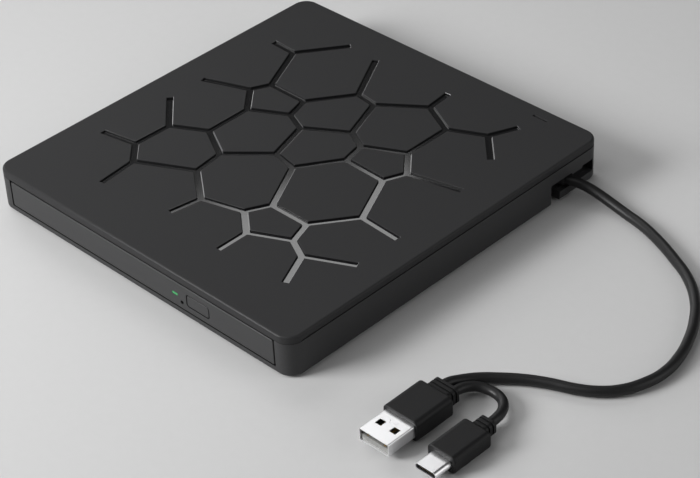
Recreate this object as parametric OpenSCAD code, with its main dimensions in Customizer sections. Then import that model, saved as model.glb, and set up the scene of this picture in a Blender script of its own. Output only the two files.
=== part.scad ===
/* [Disc and tray] */
// Diameter of the disc that the drive takes
disc_d = 120; // [118:0.5:124]
// Thickness of the disc
disc_t = 1.2; // [1:0.05:1.4]
// Clearance round the disc in its well
well_gap = 0.6; // [0.4:0.05:1.2]
// Wall of the tray in front of and behind the well
tray_edge = 0.8; // [0.6:0.05:2]
// Wall of the tray beside the well
tray_side = 0.7; // [0.5:0.05:1.5]
// Height of the hollow under the tray's skin
tray_hollow = 2.3; // [2.2:0.05:2.6]
// Thickness of the tray's skin under the disc
skin_t = 1.4; // [1.3:0.05:1.7]
// Height of the tray's rim above the well
rim_h = 2.4; // [1.6:0.05:2.8]
// Thickness of the skirt round the tray's underside
skirt_t = 1.4; // [1:0.05:2]
// Depth of the pockets in the tray's corners
corner_sunk = 1; // [0.5:0.05:1.4]
// Width of the rim round those pockets
corner_rim = 2.5; // [1.5:0.1:4]
// Diameter of the two finger scoops at the well's edge
scoop_d = 18; // [14:0.5:22]

/* [Drive chassis] */
// Thickness of the drive's sheet steel
sheet_t = 0.5; // [0.4:0.05:0.7]
// Height of the drive over its steel covers
drive_h = 9.5; // [9.4:0.05:12.7]
// Height of the tray above the chassis plate
tray_clear = 0.4; // [0.35:0.05:0.6]
// Sliding clearance of the rails and runners
run_gap = 0.15; // [0.1:0.01:0.2]
// Depth of a rail's channel, outside
rail_d = 1.3; // [1.1:0.05:1.6]
// Height of a rail
rail_h = 4; // [3.6:0.05:4.4]
// Thickness of a rail's steel
rail_t = 0.4; // [0.3:0.05:0.5]
// Distance of a rail's end from the back of the drive
rail_end = 7.4; // [6.6:0.1:20]
// Thickness of a rail guide behind the rail
guide_back = 0.6; // [0.5:0.05:1]
// Height of a rail guide
guide_h = 6.2; // [5.8:0.05:6.6]

/* [Case] */
// Room beside the drive, out to the face of the case
side_room = 7.35; // [7:0.05:12]
// Room behind the drive, out to the face of the case
rear_room = 20.4; // [20:0.1:30]
// Room between the drive and the lid, filled with foam
lid_room = 2.1; // [1.5:0.05:4]
// Thickness of the side walls
wall = 2; // [1.6:0.05:2.4]
// Thickness of the case floor
floor_t = 1.8; // [1.5:0.05:2.4]
// Thickness of the lid's top
lid_t = 2; // [1.6:0.05:2.6]
// Height of the lid's front edge
lid_lip = 2.8; // [2.4:0.05:3.4]
// Radius of the upright corners
corner_r = 5.5; // [4:0.1:7]
// Rounding of the lid's top edge
lid_edge_r = 0.9; // [0.4:0.05:1.4]
// Rounding of the case's bottom edge
base_edge_r = 0.8; // [0.3:0.05:1.2]
// Height of the shadow gap under the lid at the sides and rear
shadow_h = 0.45; // [0.2:0.05:0.6]
// Depth of the shadow gap
shadow_d = 0.7; // [0.3:0.05:1]
// Depth of the lid's tongue inside the walls
tongue_h = 2.2; // [1.4:0.05:2.6]
// Thickness of the lid's tongue
tongue_t = 1.2; // [0.8:0.05:1.4]
// Play between the lid's tongue and the walls
tongue_gap = 0.1; // [0.05:0.01:0.2]
// Height of the sill under the tray's front, above the case floor
sill_rise = 0.45; // [0.3:0.05:0.6]
// Gap below and behind the tray's front panel
bezel_gap = 0.3; // [0.2:0.05:0.4]
// Gap above the tray's front panel
bezel_top_gap = 0.5; // [0.3:0.05:0.6]
// Gap beside the tray's front panel
bezel_side_gap = 0.45; // [0.3:0.05:0.6]

/* [Lid pattern] */
// Width of the moulded grooves
groove_w = 2.4; // [1.6:0.1:3]
// Distance from the lid's sides to the ends of the pattern
net_margin = 11.85; // [10:0.05:20]
// Depth of the moulded grooves
groove_depth = 0.65; // [0.4:0.05:0.9]

/* [Cable bay] */
// Length of the bay along the right side
bay_l = 21.8; // [20:0.1:26]
// Distance from the case's rear face to the bay
bay_from_rear = 3.8; // [3:0.1:5]
// Height of the bay's opening
bay_h = 4.6; // [4.4:0.05:5.2]
// Height of the lip under the bay
bay_lip = 3.3; // [2.8:0.05:3.6]
// Thickness of the bay's inner walls
bay_wall = 1.2; // [0.8:0.05:1.5]
// Width of the slot that lets the cord down
slot_w = 4.4; // [4.2:0.05:5.2]
// Length of the retaining tab in the bay's mouth
tab_l = 5.5; // [4:0.1:7]

/* [Front panel] */
// Depth of the front panel
bezel_t = 3.5; // [3.2:0.05:4.5]
// Thickness of the panel's front wall
bezel_wall = 1.4; // [1.2:0.05:1.7]
// Width of the eject button
button_w = 10.2; // [8:0.1:12]
// Height of the eject button
button_h = 4.25; // [3.6:0.05:4.6]
// Place of the eject button, right of the middle
button_x = 29.5; // [28:0.1:31]
// Clearance round the eject button
button_gap = 0.28; // [0.12:0.01:0.3]
// Travel of the eject button
button_travel = 0.5; // [0.3:0.05:0.6]
// Place of the status light, right of the middle
light_x = 18.7; // [18.2:0.1:19.2]
// Width of the status light
light_w = 2.4; // [2:0.1:2.8]
// Height of the status light
light_h = 0.75; // [0.5:0.05:1]
// Place of the emergency eject hole, right of the middle
pin_x = 21.9; // [21.6:0.1:22.4]
// Diameter of the emergency eject hole
pin_d = 1.3; // [1:0.05:1.4]

/* [Fasteners and feet] */
// Height of the rubber feet below the case
foot_h = 0.6; // [0.4:0.05:1.5]
// Diameter of the rubber feet
foot_d = 9; // [7:0.1:11]
// Depth of the recess that a foot sits in
foot_recess = 0.4; // [0.2:0.05:0.8]
// Diameter of the case screws
screw_d = 2; // [1.8:0.05:2.2]
// Diameter of the screw heads
screw_head_d = 3.8; // [3.4:0.1:4]
// Height of the screw heads
screw_head_h = 1.2; // [0.9:0.05:1.4]
// Length of the case screws
screw_l = 9; // [8:0.1:11]
// Diameter of the screw bosses
boss_d = 4.8; // [4.2:0.1:5]

/* [Disc motor and pickup] */
// Diameter of the disc's centring hub
hub_d = 14.8; // [14.6:0.05:14.9]
// Diameter of the turntable
table_d = 28; // [26:0.1:29]
// Diameter of the rotor cup
rotor_d = 24.4; // [23:0.1:25]
// Diameter of the motor shaft
shaft_d = 1.5; // [1.2:0.05:2]
// Reach of the disc claws beyond the hub
claw_reach = 0.3; // [0.2:0.02:0.35]
// Travel of the disc claws
claw_travel = 0.4; // [0.35:0.01:0.45]
// Width of a disc claw
claw_w = 2.2; // [1.8:0.05:2.6]
// Running clearance of shafts, rods and pins
shaft_gap = 0.05; // [0.02:0.01:0.08]
// Distance from the turntable's edge to the middle of the parked lens
lens_park = 10; // [9.5:0.1:11]
// Length of the pickup sled along its rods
sled_l = 18; // [16:0.1:18.5]
// Width of the pickup sled
sled_w = 26; // [25:0.1:26.5]
// Diameter of the objective lens
lens_d = 4.2; // [3.5:0.1:5]
// Distance of each guide rod from the pickup's middle
rod_v = 11; // [10.6:0.1:11.2]
// Diameter of the main guide rod
main_rod_d = 1.6; // [1.4:0.05:1.8]
// Diameter of the side guide rod
side_rod_d = 1.2; // [1:0.05:1.5]
// Distance of the lead screw from the pickup's middle
lead_v = 16; // [15.8:0.05:16.3]
// Diameter of the lead screw
lead_d = 2; // [1.7:0.05:2.1]
// Diameter of the feed motor
feed_d = 2.7; // [2.4:0.05:2.7]

/* [Cord and plugs] */
// Diameter of the cord
cord_d = 3.6; // [3:0.1:4]
// Diameter of the tether between the plugs
tether_d = 3.3; // [2.8:0.1:3.6]
// Length of the strain relief in the bay
relief_l = 4.5; // [4:0.1:5]
// Angle at which the cord leaves the bay
relief_angle = 20; // [15:1:25]
// Distance of the cord from the front end of the bay
cord_from_slot = 7.3; // [7:0.1:8]
// Width of the USB-A plug's shell
plug_a_w = 12; // [11.9:0.05:12.1]
// Height of the USB-A plug's shell
plug_a_h = 4.5; // [4.4:0.05:4.6]
// Reach of the USB-A plug's shell
plug_a_l = 11.2; // [10.5:0.1:12]
// Width of the USB-A plug's grip
grip_a_w = 14; // [13.4:0.1:15]
// Height of the USB-A plug's grip
grip_a_h = 7.6; // [7:0.1:8.4]
// Length of the USB-A plug's grip
grip_a_l = 16; // [14:0.1:19]
// Width of the USB-C plug's shell
plug_c_w = 8.3; // [8.2:0.05:8.4]
// Height of the USB-C plug's shell
plug_c_h = 2.5; // [2.4:0.05:2.6]
// Reach of the USB-C plug's shell
plug_c_l = 6.7; // [6.5:0.1:7]
// Width of the USB-C plug's grip
grip_c_w = 11; // [10.4:0.1:12]
// Height of the USB-C plug's grip
grip_c_h = 6.4; // [6:0.1:7]
// Length of the USB-C plug's grip
grip_c_l = 16; // [14:0.1:19]
// Length of the narrower neck behind a plug's grip
neck_l = 4.7; // [4:0.1:6]
// Thickness of the plugs' steel shells
plug_t = 0.3; // [0.25:0.01:0.35]

/* [Hidden] */
$fn = 48;
eps = 0.01;

// Colours
case_grey = "#3d3e40";
dark_grey = "#2b2c2e";
black = "#17181a";
steel = "#b9bcc0";
bright_steel = "#d9dadc";
board_green = "#1f5a3a";
chip_black = "#202124";
foam_grey = "#55585c";
clear_green = "#8fe06a";
white = "#e8e8e6";
copper = "#b87333";

// Widths, from the disc outwards
well_r = disc_d / 2 + well_gap;
tray_hw = well_r + tray_side;
drive_hw = tray_hw + run_gap + rail_d + run_gap + guide_back + sheet_t;
case_w = 2 * (drive_hw + side_room);
case_hw = case_w / 2;

// Depths, from the front face backwards
stop_gap = 0.4;
drive_depth = bezel_t + 2 * tray_edge + 2 * well_r + stop_gap + sheet_t;
case_d = drive_depth + rear_room;
front_y = -case_d / 2;
rear_y = case_d / 2;
bezel_y = front_y + bezel_t;
spindle_y = bezel_y + tray_edge + well_r;
tray_y1 = spindle_y + well_r + tray_edge;
chassis_y0 = bezel_y + bezel_gap;
chassis_y1 = tray_y1 + stop_gap + sheet_t;

// Heights, from the floor upwards
case_z0 = foot_h;
floor_z = case_z0 + floor_t;
plate_z = floor_z + sheet_t;
tray_z0 = plate_z + tray_clear;
skin_z = tray_z0 + tray_hollow;
well_z = skin_z + skin_t;
rim_z = well_z + rim_h;
drive_z1 = floor_z + drive_h;
roof_z = drive_z1 - sheet_t;
lid_z0 = drive_z1 + lid_room;
case_z1 = lid_z0 + lid_t;
part_z = case_z1 - lid_lip;
sill_z = floor_z + sill_rise;
rail_z = plate_z + guide_h / 2;

// Front panel
bezel_hw = drive_hw;
bezel_z0 = sill_z + bezel_gap;
bezel_z1 = part_z - bezel_top_gap;
bezel_zc = (bezel_z0 + bezel_z1) / 2;
bezel_h = bezel_z1 - bezel_z0;
bezel_rim = 1.2;
pin_z = skin_z + 0.1;
switch_z0 = skin_z + 0.8;
switch_t = 0.6;
switch_z = switch_z0 + switch_t;
button_z = switch_z + 0.75;
button_flange = 0.7;
button_body = 2.3;
button_boss = 0.45;

// Pocket in the tray for the switch board
pocket_d = 3.7;
pocket_x = [light_x - 3.7, button_x + 7.5];
ledge = 1.7;
clip_x = bezel_hw - 17;
clip_w = 4;

// Rails, measured out from the middle
rail_x0 = tray_hw + run_gap;
rail_x1 = rail_x0 + rail_d;
guide_x1 = rail_x1 + run_gap + guide_back;
runner_h = rail_h - 2 * rail_t - 2 * run_gap;
rail_y0 = chassis_y0 + 4;
rail_l = chassis_y1 - rail_end - rail_y0;

// Cable bay in the right wall near the rear
bay_x0 = drive_hw + 0.6 + bay_wall;
bay_y1 = rear_y - bay_from_rear;
bay_y0 = bay_y1 - bay_l;
bay_z0 = case_z0 + bay_lip;
bay_z1 = bay_z0 + bay_h;
tab_h = 0.8;
tab_from_end = 5.7;

// Screw bosses and feet
front_boss = [drive_hw + (side_room - wall) / 2 + 0.1, chassis_y0 + 8];
rear_boss = [drive_hw - 3.5, rear_y - wall - boss_d / 2 - 2.4];
boss_places = [
    [front_boss[0], front_boss[1]], [-front_boss[0], front_boss[1]],
    [rear_boss[0], rear_boss[1]], [-rear_boss[0], rear_boss[1]]
];
boss_z = case_z0 + 7.4;
foot_inset = 14;

// Bridge board behind the drive
board_t = 1;
bridge_x = [16 - drive_hw, drive_hw - 8];
bridge_d = 13;
bridge_y1 = rear_y - wall - 1.2;
bridge_y0 = bridge_y1 - bridge_d;
bridge_z = floor_z + 0.8;
connector_x = [18 - drive_hw, 44 - drive_hw];
connector_z0 = bridge_z + board_t;
connector_h = 3.4;
connector_out = 2.4;
light_bar = [6, 0.8];
light_place = [drive_hw - 15, rear_y - 5.3];
light_sunk = 0.5;

// Traverse that carries the disc motor and pickup, in its own frame: u along the pickup's travel
traverse_angle = 225;
traverse_t = 0.6;
traverse_z0 = tray_z0 - 0.1;
traverse_z1 = traverse_z0 + traverse_t;
axis_z = traverse_z1 + 1.4;
cover_t = 0.4;
cover_z0 = well_z - cover_t;
cover_gap = 0.25;
frame_gap = 0.4;
sled_z0 = traverse_z1 + 0.2;
sled_z1 = cover_z0 - 0.2;
table_r = table_d / 2;
lens_r = table_r + lens_park;
sled_travel = well_r - 4.1 - lens_r;
sled_u0 = lens_r - sled_l / 2;
rod_u0 = sled_u0 - 3.8;
rod_u1 = sled_u0 + sled_l + sled_travel + 2.8;
seat_u = 2.2;
lead_u0 = lens_r - 4.3;
lead_u1 = well_r + 2.4;
lead_seat = 1.5;
nut_u = [lens_r - 1, lens_r + 3];
lead_side = max(lead_v + 4, table_r + 6);
rod_side = max(rod_v + 5, table_r + 2);
outline = [
    [2 - table_r, -lead_side], [well_r + 1.4, -lead_side],
    [well_r + 11.4, 10 - lead_side], [well_r + 11.4, rod_side - 6],
    [well_r + 5.4, rod_side], [2 - table_r, rod_side],
    [-table_r - 5, rod_side - 7], [-table_r - 5, 7 - lead_side]
];
dampers = [[2, -lead_side - 3.5], [well_r - 15.6, rod_side + 3.5], [-table_r - 8.5, 2]];
damper_pin_r = 1;
damper_bush_r = 2.2;
ear_r = 3.2;

// Disc motor
stator_t = 0.6;
sleeve_r = 2.2;
cup_wall = 0.9;
cup_z0 = traverse_z1 + stator_t + 0.5;
table_z0 = well_z + 0.3;
table_z1 = table_z0 + 0.6;
pad_t = 0.3;
seat_z = table_z1 + pad_t;
hub_z1 = seat_z + disc_t + 1;
claw_z = [seat_z + 0.5, hub_z1 - 0.4];
claw_peak_z = seat_z + disc_t + 0.15;
claw_slot = 0.15;
magnet_t = 0.7;
teeth = 9;

// Boards and latch under the tray
control_x = [21.3 - tray_hw, tray_hw - 15.8];
control_y = [spindle_y + 26.4, tray_y1 - 14];
control_z = tray_z0 + 0.1;
thin_board_t = 0.6;
stake_r = 0.8;
stakes = [
    [control_x[0] + 3, control_y[1] - 3], [control_x[1] - 3.5, control_y[0] + 3],
    [2, control_y[1] - 3]
];
rear_board_x = [13.3 - tray_hw, 49.3 - tray_hw];
ribbon_x = [rear_board_x[0] + 10, rear_board_x[0] + 24];
ribbon_t = 0.2;
ribbon_bend_r = 0.75;
ribbon_fold_y = control_y[0] - 13.5;
ribbon_z0 = plate_z + 0.1;
rear_board_y = [tray_y1 - 11.5, tray_y1 + 0.1];
rear_board_z = plate_z + 0.5;
stud = [tray_hw - 11.7, front_y + 23.8];
stud_r = 1.1;
stud_z1 = skin_z - 1;
latch = [tray_hw - 8.3, front_y + 11.8];
latch_pin_r = 1;
latch_z = [tray_z0 + 0.25, tray_z0 + 1.45];
latch_tip = [pin_x + 0.6, front_y + 7.4];
latch_arm_w = 2.2;
solenoid_x = [latch[0] - 22, latch[0] - 12];
solenoid_y = [front_y + 14.8, front_y + 21.8];
ejector_x = tray_hw - 4.3;
ejector_y0 = tray_y1 - 16.5;
ejector_r = 1.1;
ejector_z = skin_z - ejector_r - 0.1;

// Net of grooves on the lid: corners of its cells, and the grooves that join them
net = [
    [-34, 59.5], [-46.5, 43], [-57, 43.5], [-37, 23], [-20.5, 23], [-9, 38.5], [-20, 58.5],
    [-0.5, 37.5], [15.5, 49], [14.5, 59], [29, 42.5], [42.5, 49], [47, 59], [52.5, 39],
    [29, 23.5], [6, 20], [14, 16], [-18, 14], [-9.5, 10.5], [-40.5, 16], [-32, 6.5], [-58, 9.5],
    [16, 7], [37, 14.5], [57, 19], [33.5, 6.5], [-4.5, -6], [5.5, -8], [-32, -11.5], [-19, -18.5],
    [-45, -18.5], [-58, -6.5], [43, -13], [59.5, -14], [16, -27.5], [32, -27.5], [11.5, -36],
    [20.5, -43.5], [35, -36.5], [43, -40.5], [59.5, -32.5], [49, -53.5], [20.5, -55.5],
    [-4.5, -40.5], [-6.5, -52], [-17.5, -30.5], [-38, -41], [-36.5, -56], [-45.5, -33.5],
    [-59.5, -36]
];
net_w = 119;
net_scale = (case_w - 2 * net_margin) / net_w;
grooves = [
    [0, 1], [1, 2], [1, 3], [3, 4], [4, 5], [5, 6], [5, 7], [7, 8], [8, 9], [8, 10], [10, 11],
    [11, 12], [11, 13], [10, 14], [7, 15], [15, 16], [16, 14], [4, 17], [17, 18], [18, 15],
    [3, 19], [19, 20], [20, 17], [19, 21], [16, 22], [14, 23], [23, 24], [23, 25], [25, 22],
    [18, 26], [26, 27], [27, 22], [20, 28], [28, 29], [29, 26], [28, 30], [30, 31], [25, 32],
    [32, 33], [27, 34], [34, 35], [35, 32], [34, 36], [36, 37], [37, 38], [38, 35], [38, 39],
    [39, 40], [39, 41], [37, 42], [36, 43], [43, 44], [43, 45], [45, 29], [45, 46], [46, 47],
    [46, 48], [48, 30], [48, 49]
];

// Cord: its route from the strain relief's tip, as places on the table and heights
relief_root = [bay_x0, bay_y0 + cord_from_slot, (bay_z0 + bay_z1) / 2];
relief_dir = [cos(relief_angle), sin(relief_angle), 0];
relief_tip = relief_root + relief_l * relief_dir;
cord_points = [
    [0, 0, 6.2], [4, 1.4, 6], [8, 2.6, 5], [13, 3.2, 3.7], [18, 3.2, 2.6], [24, 2.6, 1.9],
    [32, 1, 1.9], [41, -2, 1.9], [51, -6.5, 1.9], [61, -12, 1.9], [69.5, -19.5, 1.9],
    [76, -28.5, 1.9], [80, -36.5, 1.9], [83, -45.5, 1.9], [84, -54, 1.9], [82.5, -62, 1.9],
    [79.5, -68.5, 1.9], [75, -73.5, 1.9], [69, -77.3, 1.9], [61.5, -80.5, 1.9], [55, -84, 1.9],
    [49, -88.5, 2], [44, -93.5, 2.4], [41, -98.5, 3], [39.8, -102, 3.6], [39.7, -104.6, 3.8]
];
cord_route = [
    for (i = [0 : len(cord_points) - 1])
        [
            relief_tip[0] + cord_points[i][0],
            relief_tip[1] + cord_points[i][1],
            i == 0 ? relief_tip[2] : cord_points[i][2]
        ]
];
cord_end = cord_route[len(cord_route) - 1];

// Plugs, from the end of the cord
plug_a = [cord_end[0] + 2.1, cord_end[1], grip_a_h / 2];
tether_points = [
    [0, 0, 3.8], [0.1, 2, 3.8], [0.9, 4.8, 3.5], [2.8, 7.4, 3.1], [5.6, 8.9, 2.7], [8.8, 9.3, 2.5],
    [11.8, 8.5, 2.5], [14.3, 6.5, 2.7], [16, 3.7, 3], [16.8, 0.6, 3.2], [16.9, -1.4, 3.2],
    [16.9, -3, 3.2]
];
tether_start = [plug_a[0] + 2.3, plug_a[1], 0];
tether_route = [for (p = tether_points) tether_start + p];
tether_end = tether_route[len(tether_route) - 1];
plug_c = [tether_end[0], tether_end[1], grip_c_h / 2];

// Rounded rectangle about the middle
module rounded(x, y, r) {
    square([x - 2 * r, y], center = true);
    square([x, y - 2 * r], center = true);
    for (i = [-1, 1], j = [-1, 1])
        translate([i * (x / 2 - r), j * (y / 2 - r)])
            circle(r);
}

// Box given by the two ends of each side
module span(x, y, z) {
    translate([x[0], y[0], z[0]])
        cube([x[1] - x[0], y[1] - y[0], z[1] - z[0]]);
}

// Square corner less its round, to cut an edge with
module edge_profile(e) {
    difference() {
        square([e + 1, e + 1]);
        circle(e);
    }
}

// What rounding takes off the upper edge, at height 0, of a rounded block
module edge_cut(x, y, r, e) {
    for (i = [0 : 3]) {
        a = i % 2 == 0 ? x / 2 - r : y / 2 - r;
        b = i % 2 == 0 ? y / 2 - r : x / 2 - r;
        rotate([0, 0, 90 * i]) {
            translate([a, b, -e])
                rotate_extrude(angle = 90)
                    translate([r - e, 0])
                        edge_profile(e);
            translate([-a, b + r - e, -e])
                rotate([90, 0, 90])
                    linear_extrude(2 * a)
                        edge_profile(e);
        }
    }
}

// Bar of one width between two places on a plane
module bar(p, q, w) {
    d = q - p;
    translate(p)
        rotate(atan2(d[1], d[0]))
            translate([0, -w / 2])
                square([norm(d), w]);
}

// Children drawn as seen from the front, thickness counted forwards from the panel's back
module on_front() {
    translate([0, bezel_y, bezel_zc])
        rotate([90, 0, 0])
            children();
}

// Children in the traverse's own frame
module on_traverse() {
    translate([0, spindle_y, 0])
        rotate([0, 0, traverse_angle])
            children();
}

// Cylinder along the traverse's own travel
module along(u0, u1, v, z, r) {
    translate([u0, v, z])
        rotate([0, 90, 0])
            cylinder(r = r, h = u1 - u0);
}

// Tube of flat sides through the points of a route, with the directions of its two ends
function unit(v) = v / norm(v);
function heading(p, i, d0, d1) =
    i == 0 ? d0 : i == len(p) - 1 ? d1 : unit(unit(p[i + 1] - p[i]) + unit(p[i] - p[i - 1]));
function ring(c, d, r, sides) =
    let (side = unit(cross(d, [0, 0, 1])), up = cross(side, d))
    [for (k = [0 : sides - 1]) c + r * (cos(360 * k / sides) * side + sin(360 * k / sides) * up)];
module tube(p, r, d0, d1, sides = 8) {
    n = len(p);
    polyhedron(
        points = [for (i = [0 : n - 1]) each ring(p[i], heading(p, i, d0, d1), r, sides)],
        faces = concat(
            [
                for (i = [0 : n - 2], k = [0 : sides - 1])
                    let (a = i * sides, b = a + sides, m = (k + 1) % sides)
                    each [[a + k, b + k, b + m], [a + k, b + m, a + m]]
            ],
            [for (k = [1 : sides - 2]) [0, k, k + 1]],
            [for (k = [1 : sides - 2]) [0, k + 1, k] + [1, 1, 1] * (n - 1) * sides]
        )
    );
}

// Case

module lid_grooves() {
    for (g = grooves) {
        p = net_scale * net[g[0]];
        q = net_scale * net[g[1]];
        lap = 0.3 * (q - p) / norm(q - p);
        bar(p - lap, q + lap, groove_w);
    }
}

module lid_shell() {
    lid_h = case_z1 - part_z;
    difference() {
        translate([0, 0, part_z])
            linear_extrude(lid_h)
                rounded(case_w, case_d, corner_r);
        translate([0, 0, part_z - eps])
            linear_extrude(lid_z0 - part_z + eps)
                rounded(case_w - 2 * wall, case_d - 2 * wall, corner_r - wall);
        translate([0, 0, case_z1])
            edge_cut(case_w, case_d, corner_r, lid_edge_r);
        // Shadow gap, which stops short of the front corners
        difference() {
            translate([0, 0, part_z - eps])
                linear_extrude(shadow_h + eps)
                    difference() {
                        rounded(case_w + 1, case_d + 1, corner_r + 0.5);
                        rounded(case_w - 2 * shadow_d, case_d - 2 * shadow_d, corner_r - shadow_d);
                    }
            span([-case_w, case_w], [front_y - 1, front_y + corner_r], [part_z - 1, case_z1]);
        }
        translate([0, 0, case_z1 - groove_depth])
            linear_extrude(groove_depth + 1)
                lid_grooves();
    }
}

module lid_tongue() {
    tongue_w = case_w - 2 * wall - 2 * tongue_gap;
    tongue_d = case_d - 2 * wall - 2 * tongue_gap;
    tongue_r = corner_r - wall - tongue_gap;
    difference() {
        translate([0, 0, part_z - tongue_h])
            linear_extrude(lid_z0 - part_z + tongue_h)
                difference() {
                    rounded(tongue_w, tongue_d, tongue_r);
                    rounded(tongue_w - 2 * tongue_t, tongue_d - 2 * tongue_t, tongue_r - tongue_t);
                }
        span([-case_w, case_w], [front_y, chassis_y0 + 2], [plate_z, lid_z0 - eps]);
    }
}

module top_cover() {
    color(case_grey)
        difference() {
            union() {
                lid_shell();
                lid_tongue();
                for (p = boss_places)
                    translate([p[0], p[1], boss_z + 0.1])
                        cylinder(d = boss_d, h = lid_z0 - boss_z - 0.1 + eps);
            }
            for (p = boss_places)
                translate([p[0], p[1], boss_z])
                    cylinder(d = screw_d + 2 * shaft_gap, h = screw_l - 4);
            translate([light_place[0], light_place[1], lid_z0 - 1])
                linear_extrude(lid_t + 2)
                    square(light_bar + [0.2, 0.2], center = true);
        }
}

module bay_block() {
    intersection() {
        span(
            [bay_x0 - bay_wall, case_hw],
            [bay_y0 - bay_wall, rear_y],
            [floor_z - 0.5, bay_z1 + bay_wall]
        );
        linear_extrude(case_z1)
            rounded(case_w - wall, case_d - wall, corner_r - wall / 2);
    }
}

module bay_cut() {
    span([bay_x0, case_hw + 1], [bay_y0, bay_y1], [bay_z0, bay_z1]);
    span([bay_x0, case_hw + 1], [bay_y0, bay_y0 + slot_w], [case_z0 - 1, bay_z0 + eps]);
}

module bottom_case() {
    color(case_grey)
        difference() {
            union() {
                difference() {
                    translate([0, 0, case_z0])
                        linear_extrude(part_z - case_z0)
                            rounded(case_w, case_d, corner_r);
                    translate([0, 0, floor_z])
                        linear_extrude(part_z)
                            rounded(case_w - 2 * wall, case_d - 2 * wall, corner_r - wall);
                    span(
                        [-bezel_hw - bezel_side_gap, bezel_hw + bezel_side_gap],
                        [front_y - 1, front_y + wall + 1],
                        [sill_z, part_z + 1]
                    );
                }
                difference() {
                    bay_block();
                    translate([0, 0, -eps])
                        bay_cut();
                }
                // Ribs that locate the drive, at its sides and behind it
                for (s = [-1, 1], k = [-0.66, 0, 0.63])
                    translate([s * (drive_hw + 0.1 + 0.6), spindle_y + k * well_r, floor_z + 1.5 - eps])
                        cube([1.2, 6, 3 + 2 * eps], center = true);
                for (x = [8 - drive_hw, (drive_hw - 24) / 2, drive_hw - 16])
                    span(
                        [x - 3, x + 3],
                        [chassis_y1 + 0.1, chassis_y1 + 1.3],
                        [floor_z - eps, floor_z + 3]
                    );
                // Bosses for the case screws, and pads under the bridge board
                for (p = boss_places)
                    translate([p[0], p[1], floor_z - eps])
                        cylinder(d = boss_d, h = boss_z - floor_z + eps);
                for (x = [bridge_x[0] + 3, 4, bridge_x[1] - 3])
                    translate([x, bridge_y1 - 3, floor_z - eps])
                        cylinder(d = 4, h = bridge_z - floor_z + eps);
            }
            difference() {
                bay_cut();
                span(
                    [case_hw - 1.2, case_hw],
                    [bay_y1 - tab_from_end - tab_l, bay_y1 - tab_from_end],
                    [bay_z1 - tab_h, bay_z1 + 1]
                );
            }
            // Hole in the bay's inner wall for the cord
            translate([bay_x0 - bay_wall - 1, relief_root[1], relief_root[2]])
                rotate([0, 90, 0])
                    cylinder(d = cord_d, h = bay_wall + 1 - eps);
            for (p = boss_places)
                translate([p[0], p[1], case_z0 - eps]) {
                    cylinder(d = screw_d + 0.4, h = screw_l + 2);
                    cylinder(d = screw_head_d + 0.4, h = screw_head_h + eps);
                }
            for (i = [-1, 1], j = [-1, 1])
                translate([i * (case_hw - foot_inset), j * (rear_y - foot_inset), case_z0 - eps])
                    cylinder(d = foot_d + 0.2, h = foot_recess + eps);
            translate([0, 0, case_z0])
                rotate([180, 0, 0])
                    edge_cut(case_w, case_d, corner_r, base_edge_r);
        }
}

module rubber_feet() {
    color(black)
        for (i = [-1, 1], j = [-1, 1])
            translate([i * (case_hw - foot_inset), j * (rear_y - foot_inset), 0])
                rotate_extrude()
                    difference() {
                        square([foot_d / 2, foot_h + foot_recess]);
                        translate([foot_d / 2, 0])
                            rotate(45)
                                square(0.4, center = true);
                    }
}

module case_screws() {
    color(steel)
        for (p = boss_places)
            translate([p[0], p[1], case_z0 + 0.1])
                difference() {
                    union() {
                        cylinder(d = screw_head_d, h = screw_head_h - 0.1);
                        cylinder(d = screw_d, h = screw_l);
                    }
                    for (a = [0, 90])
                        rotate([0, 0, a])
                            translate([-1.1, -0.2, -eps])
                                cube([2.2, 0.4, 0.6]);
                }
}

module foam_pads() {
    color(foam_grey)
        for (i = [-1 : 1]) {
            y = spindle_y + 0.35 * i * disc_d;
            span([-0.75, 0.75] * drive_hw, [y - 4, y + 4], [drive_z1, lid_z0]);
        }
}

module lid_light_pipe() {
    color(dark_grey)
        translate([light_place[0], light_place[1], 0]) {
            translate([0, 0, lid_z0 - eps])
                linear_extrude(lid_t - light_sunk + eps)
                    square(light_bar, center = true);
            translate([0, 0, lid_z0 - 1])
                linear_extrude(1)
                    square(light_bar + [1.6, 1.6], center = true);
            translate([0, 0, bridge_z + board_t + 0.8])
                linear_extrude(lid_z0 - bridge_z - board_t - 1.8 + eps)
                    square([light_bar[0] - 2.4, 2], center = true);
        }
}

// Bridge board, which turns the drive's connector into the cord

module bridge_board() {
    color(board_green)
        difference() {
            span(bridge_x, [bridge_y0, bridge_y1], [bridge_z, bridge_z + board_t]);
            for (x = [bridge_x[0] + 3, bridge_x[1] - 3])
                translate([x, bridge_y1 - 3, bridge_z - 1])
                    cylinder(d = 2.2, h = board_t + 2);
        }
}

module bridge_chips() {
    z = bridge_z + board_t;
    x = connector_x[1];
    y = bridge_y0;
    l = bridge_x[1] - x;
    w = bridge_d;
    led = light_place;
    color(chip_black) {
        span([x + 0.21 * l, x + 0.34 * l], [y + 0.12 * w, y + 0.88 * w], [z, z + board_t]);
        span([x + 0.42 * l, x + 0.48 * l], [y + 0.3 * w, y + 0.6 * w], [z, z + 1.1 * board_t]);
        span([x + 0.55 * l, x + 0.61 * l], [y + 0.23 * w, y + 0.54 * w], [z, z + 2 * board_t]);
        span([x + 0.67 * l, x + 0.72 * l], [y + 0.46 * w, y + 0.7 * w], [z, z + 0.9 * board_t]);
        for (i = [0 : 4])
            span(
                [x + (0.08 + 0.024 * i) * l, x + (0.092 + 0.024 * i) * l],
                [y + 0.7 * w, y + 0.85 * w],
                [z, z + 0.7 * board_t]
            );
        span([led[0] - 0.8, led[0] + 0.8], [led[1] - 0.8, led[1] + 0.8], [z, z + 0.7]);
    }
}

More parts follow.
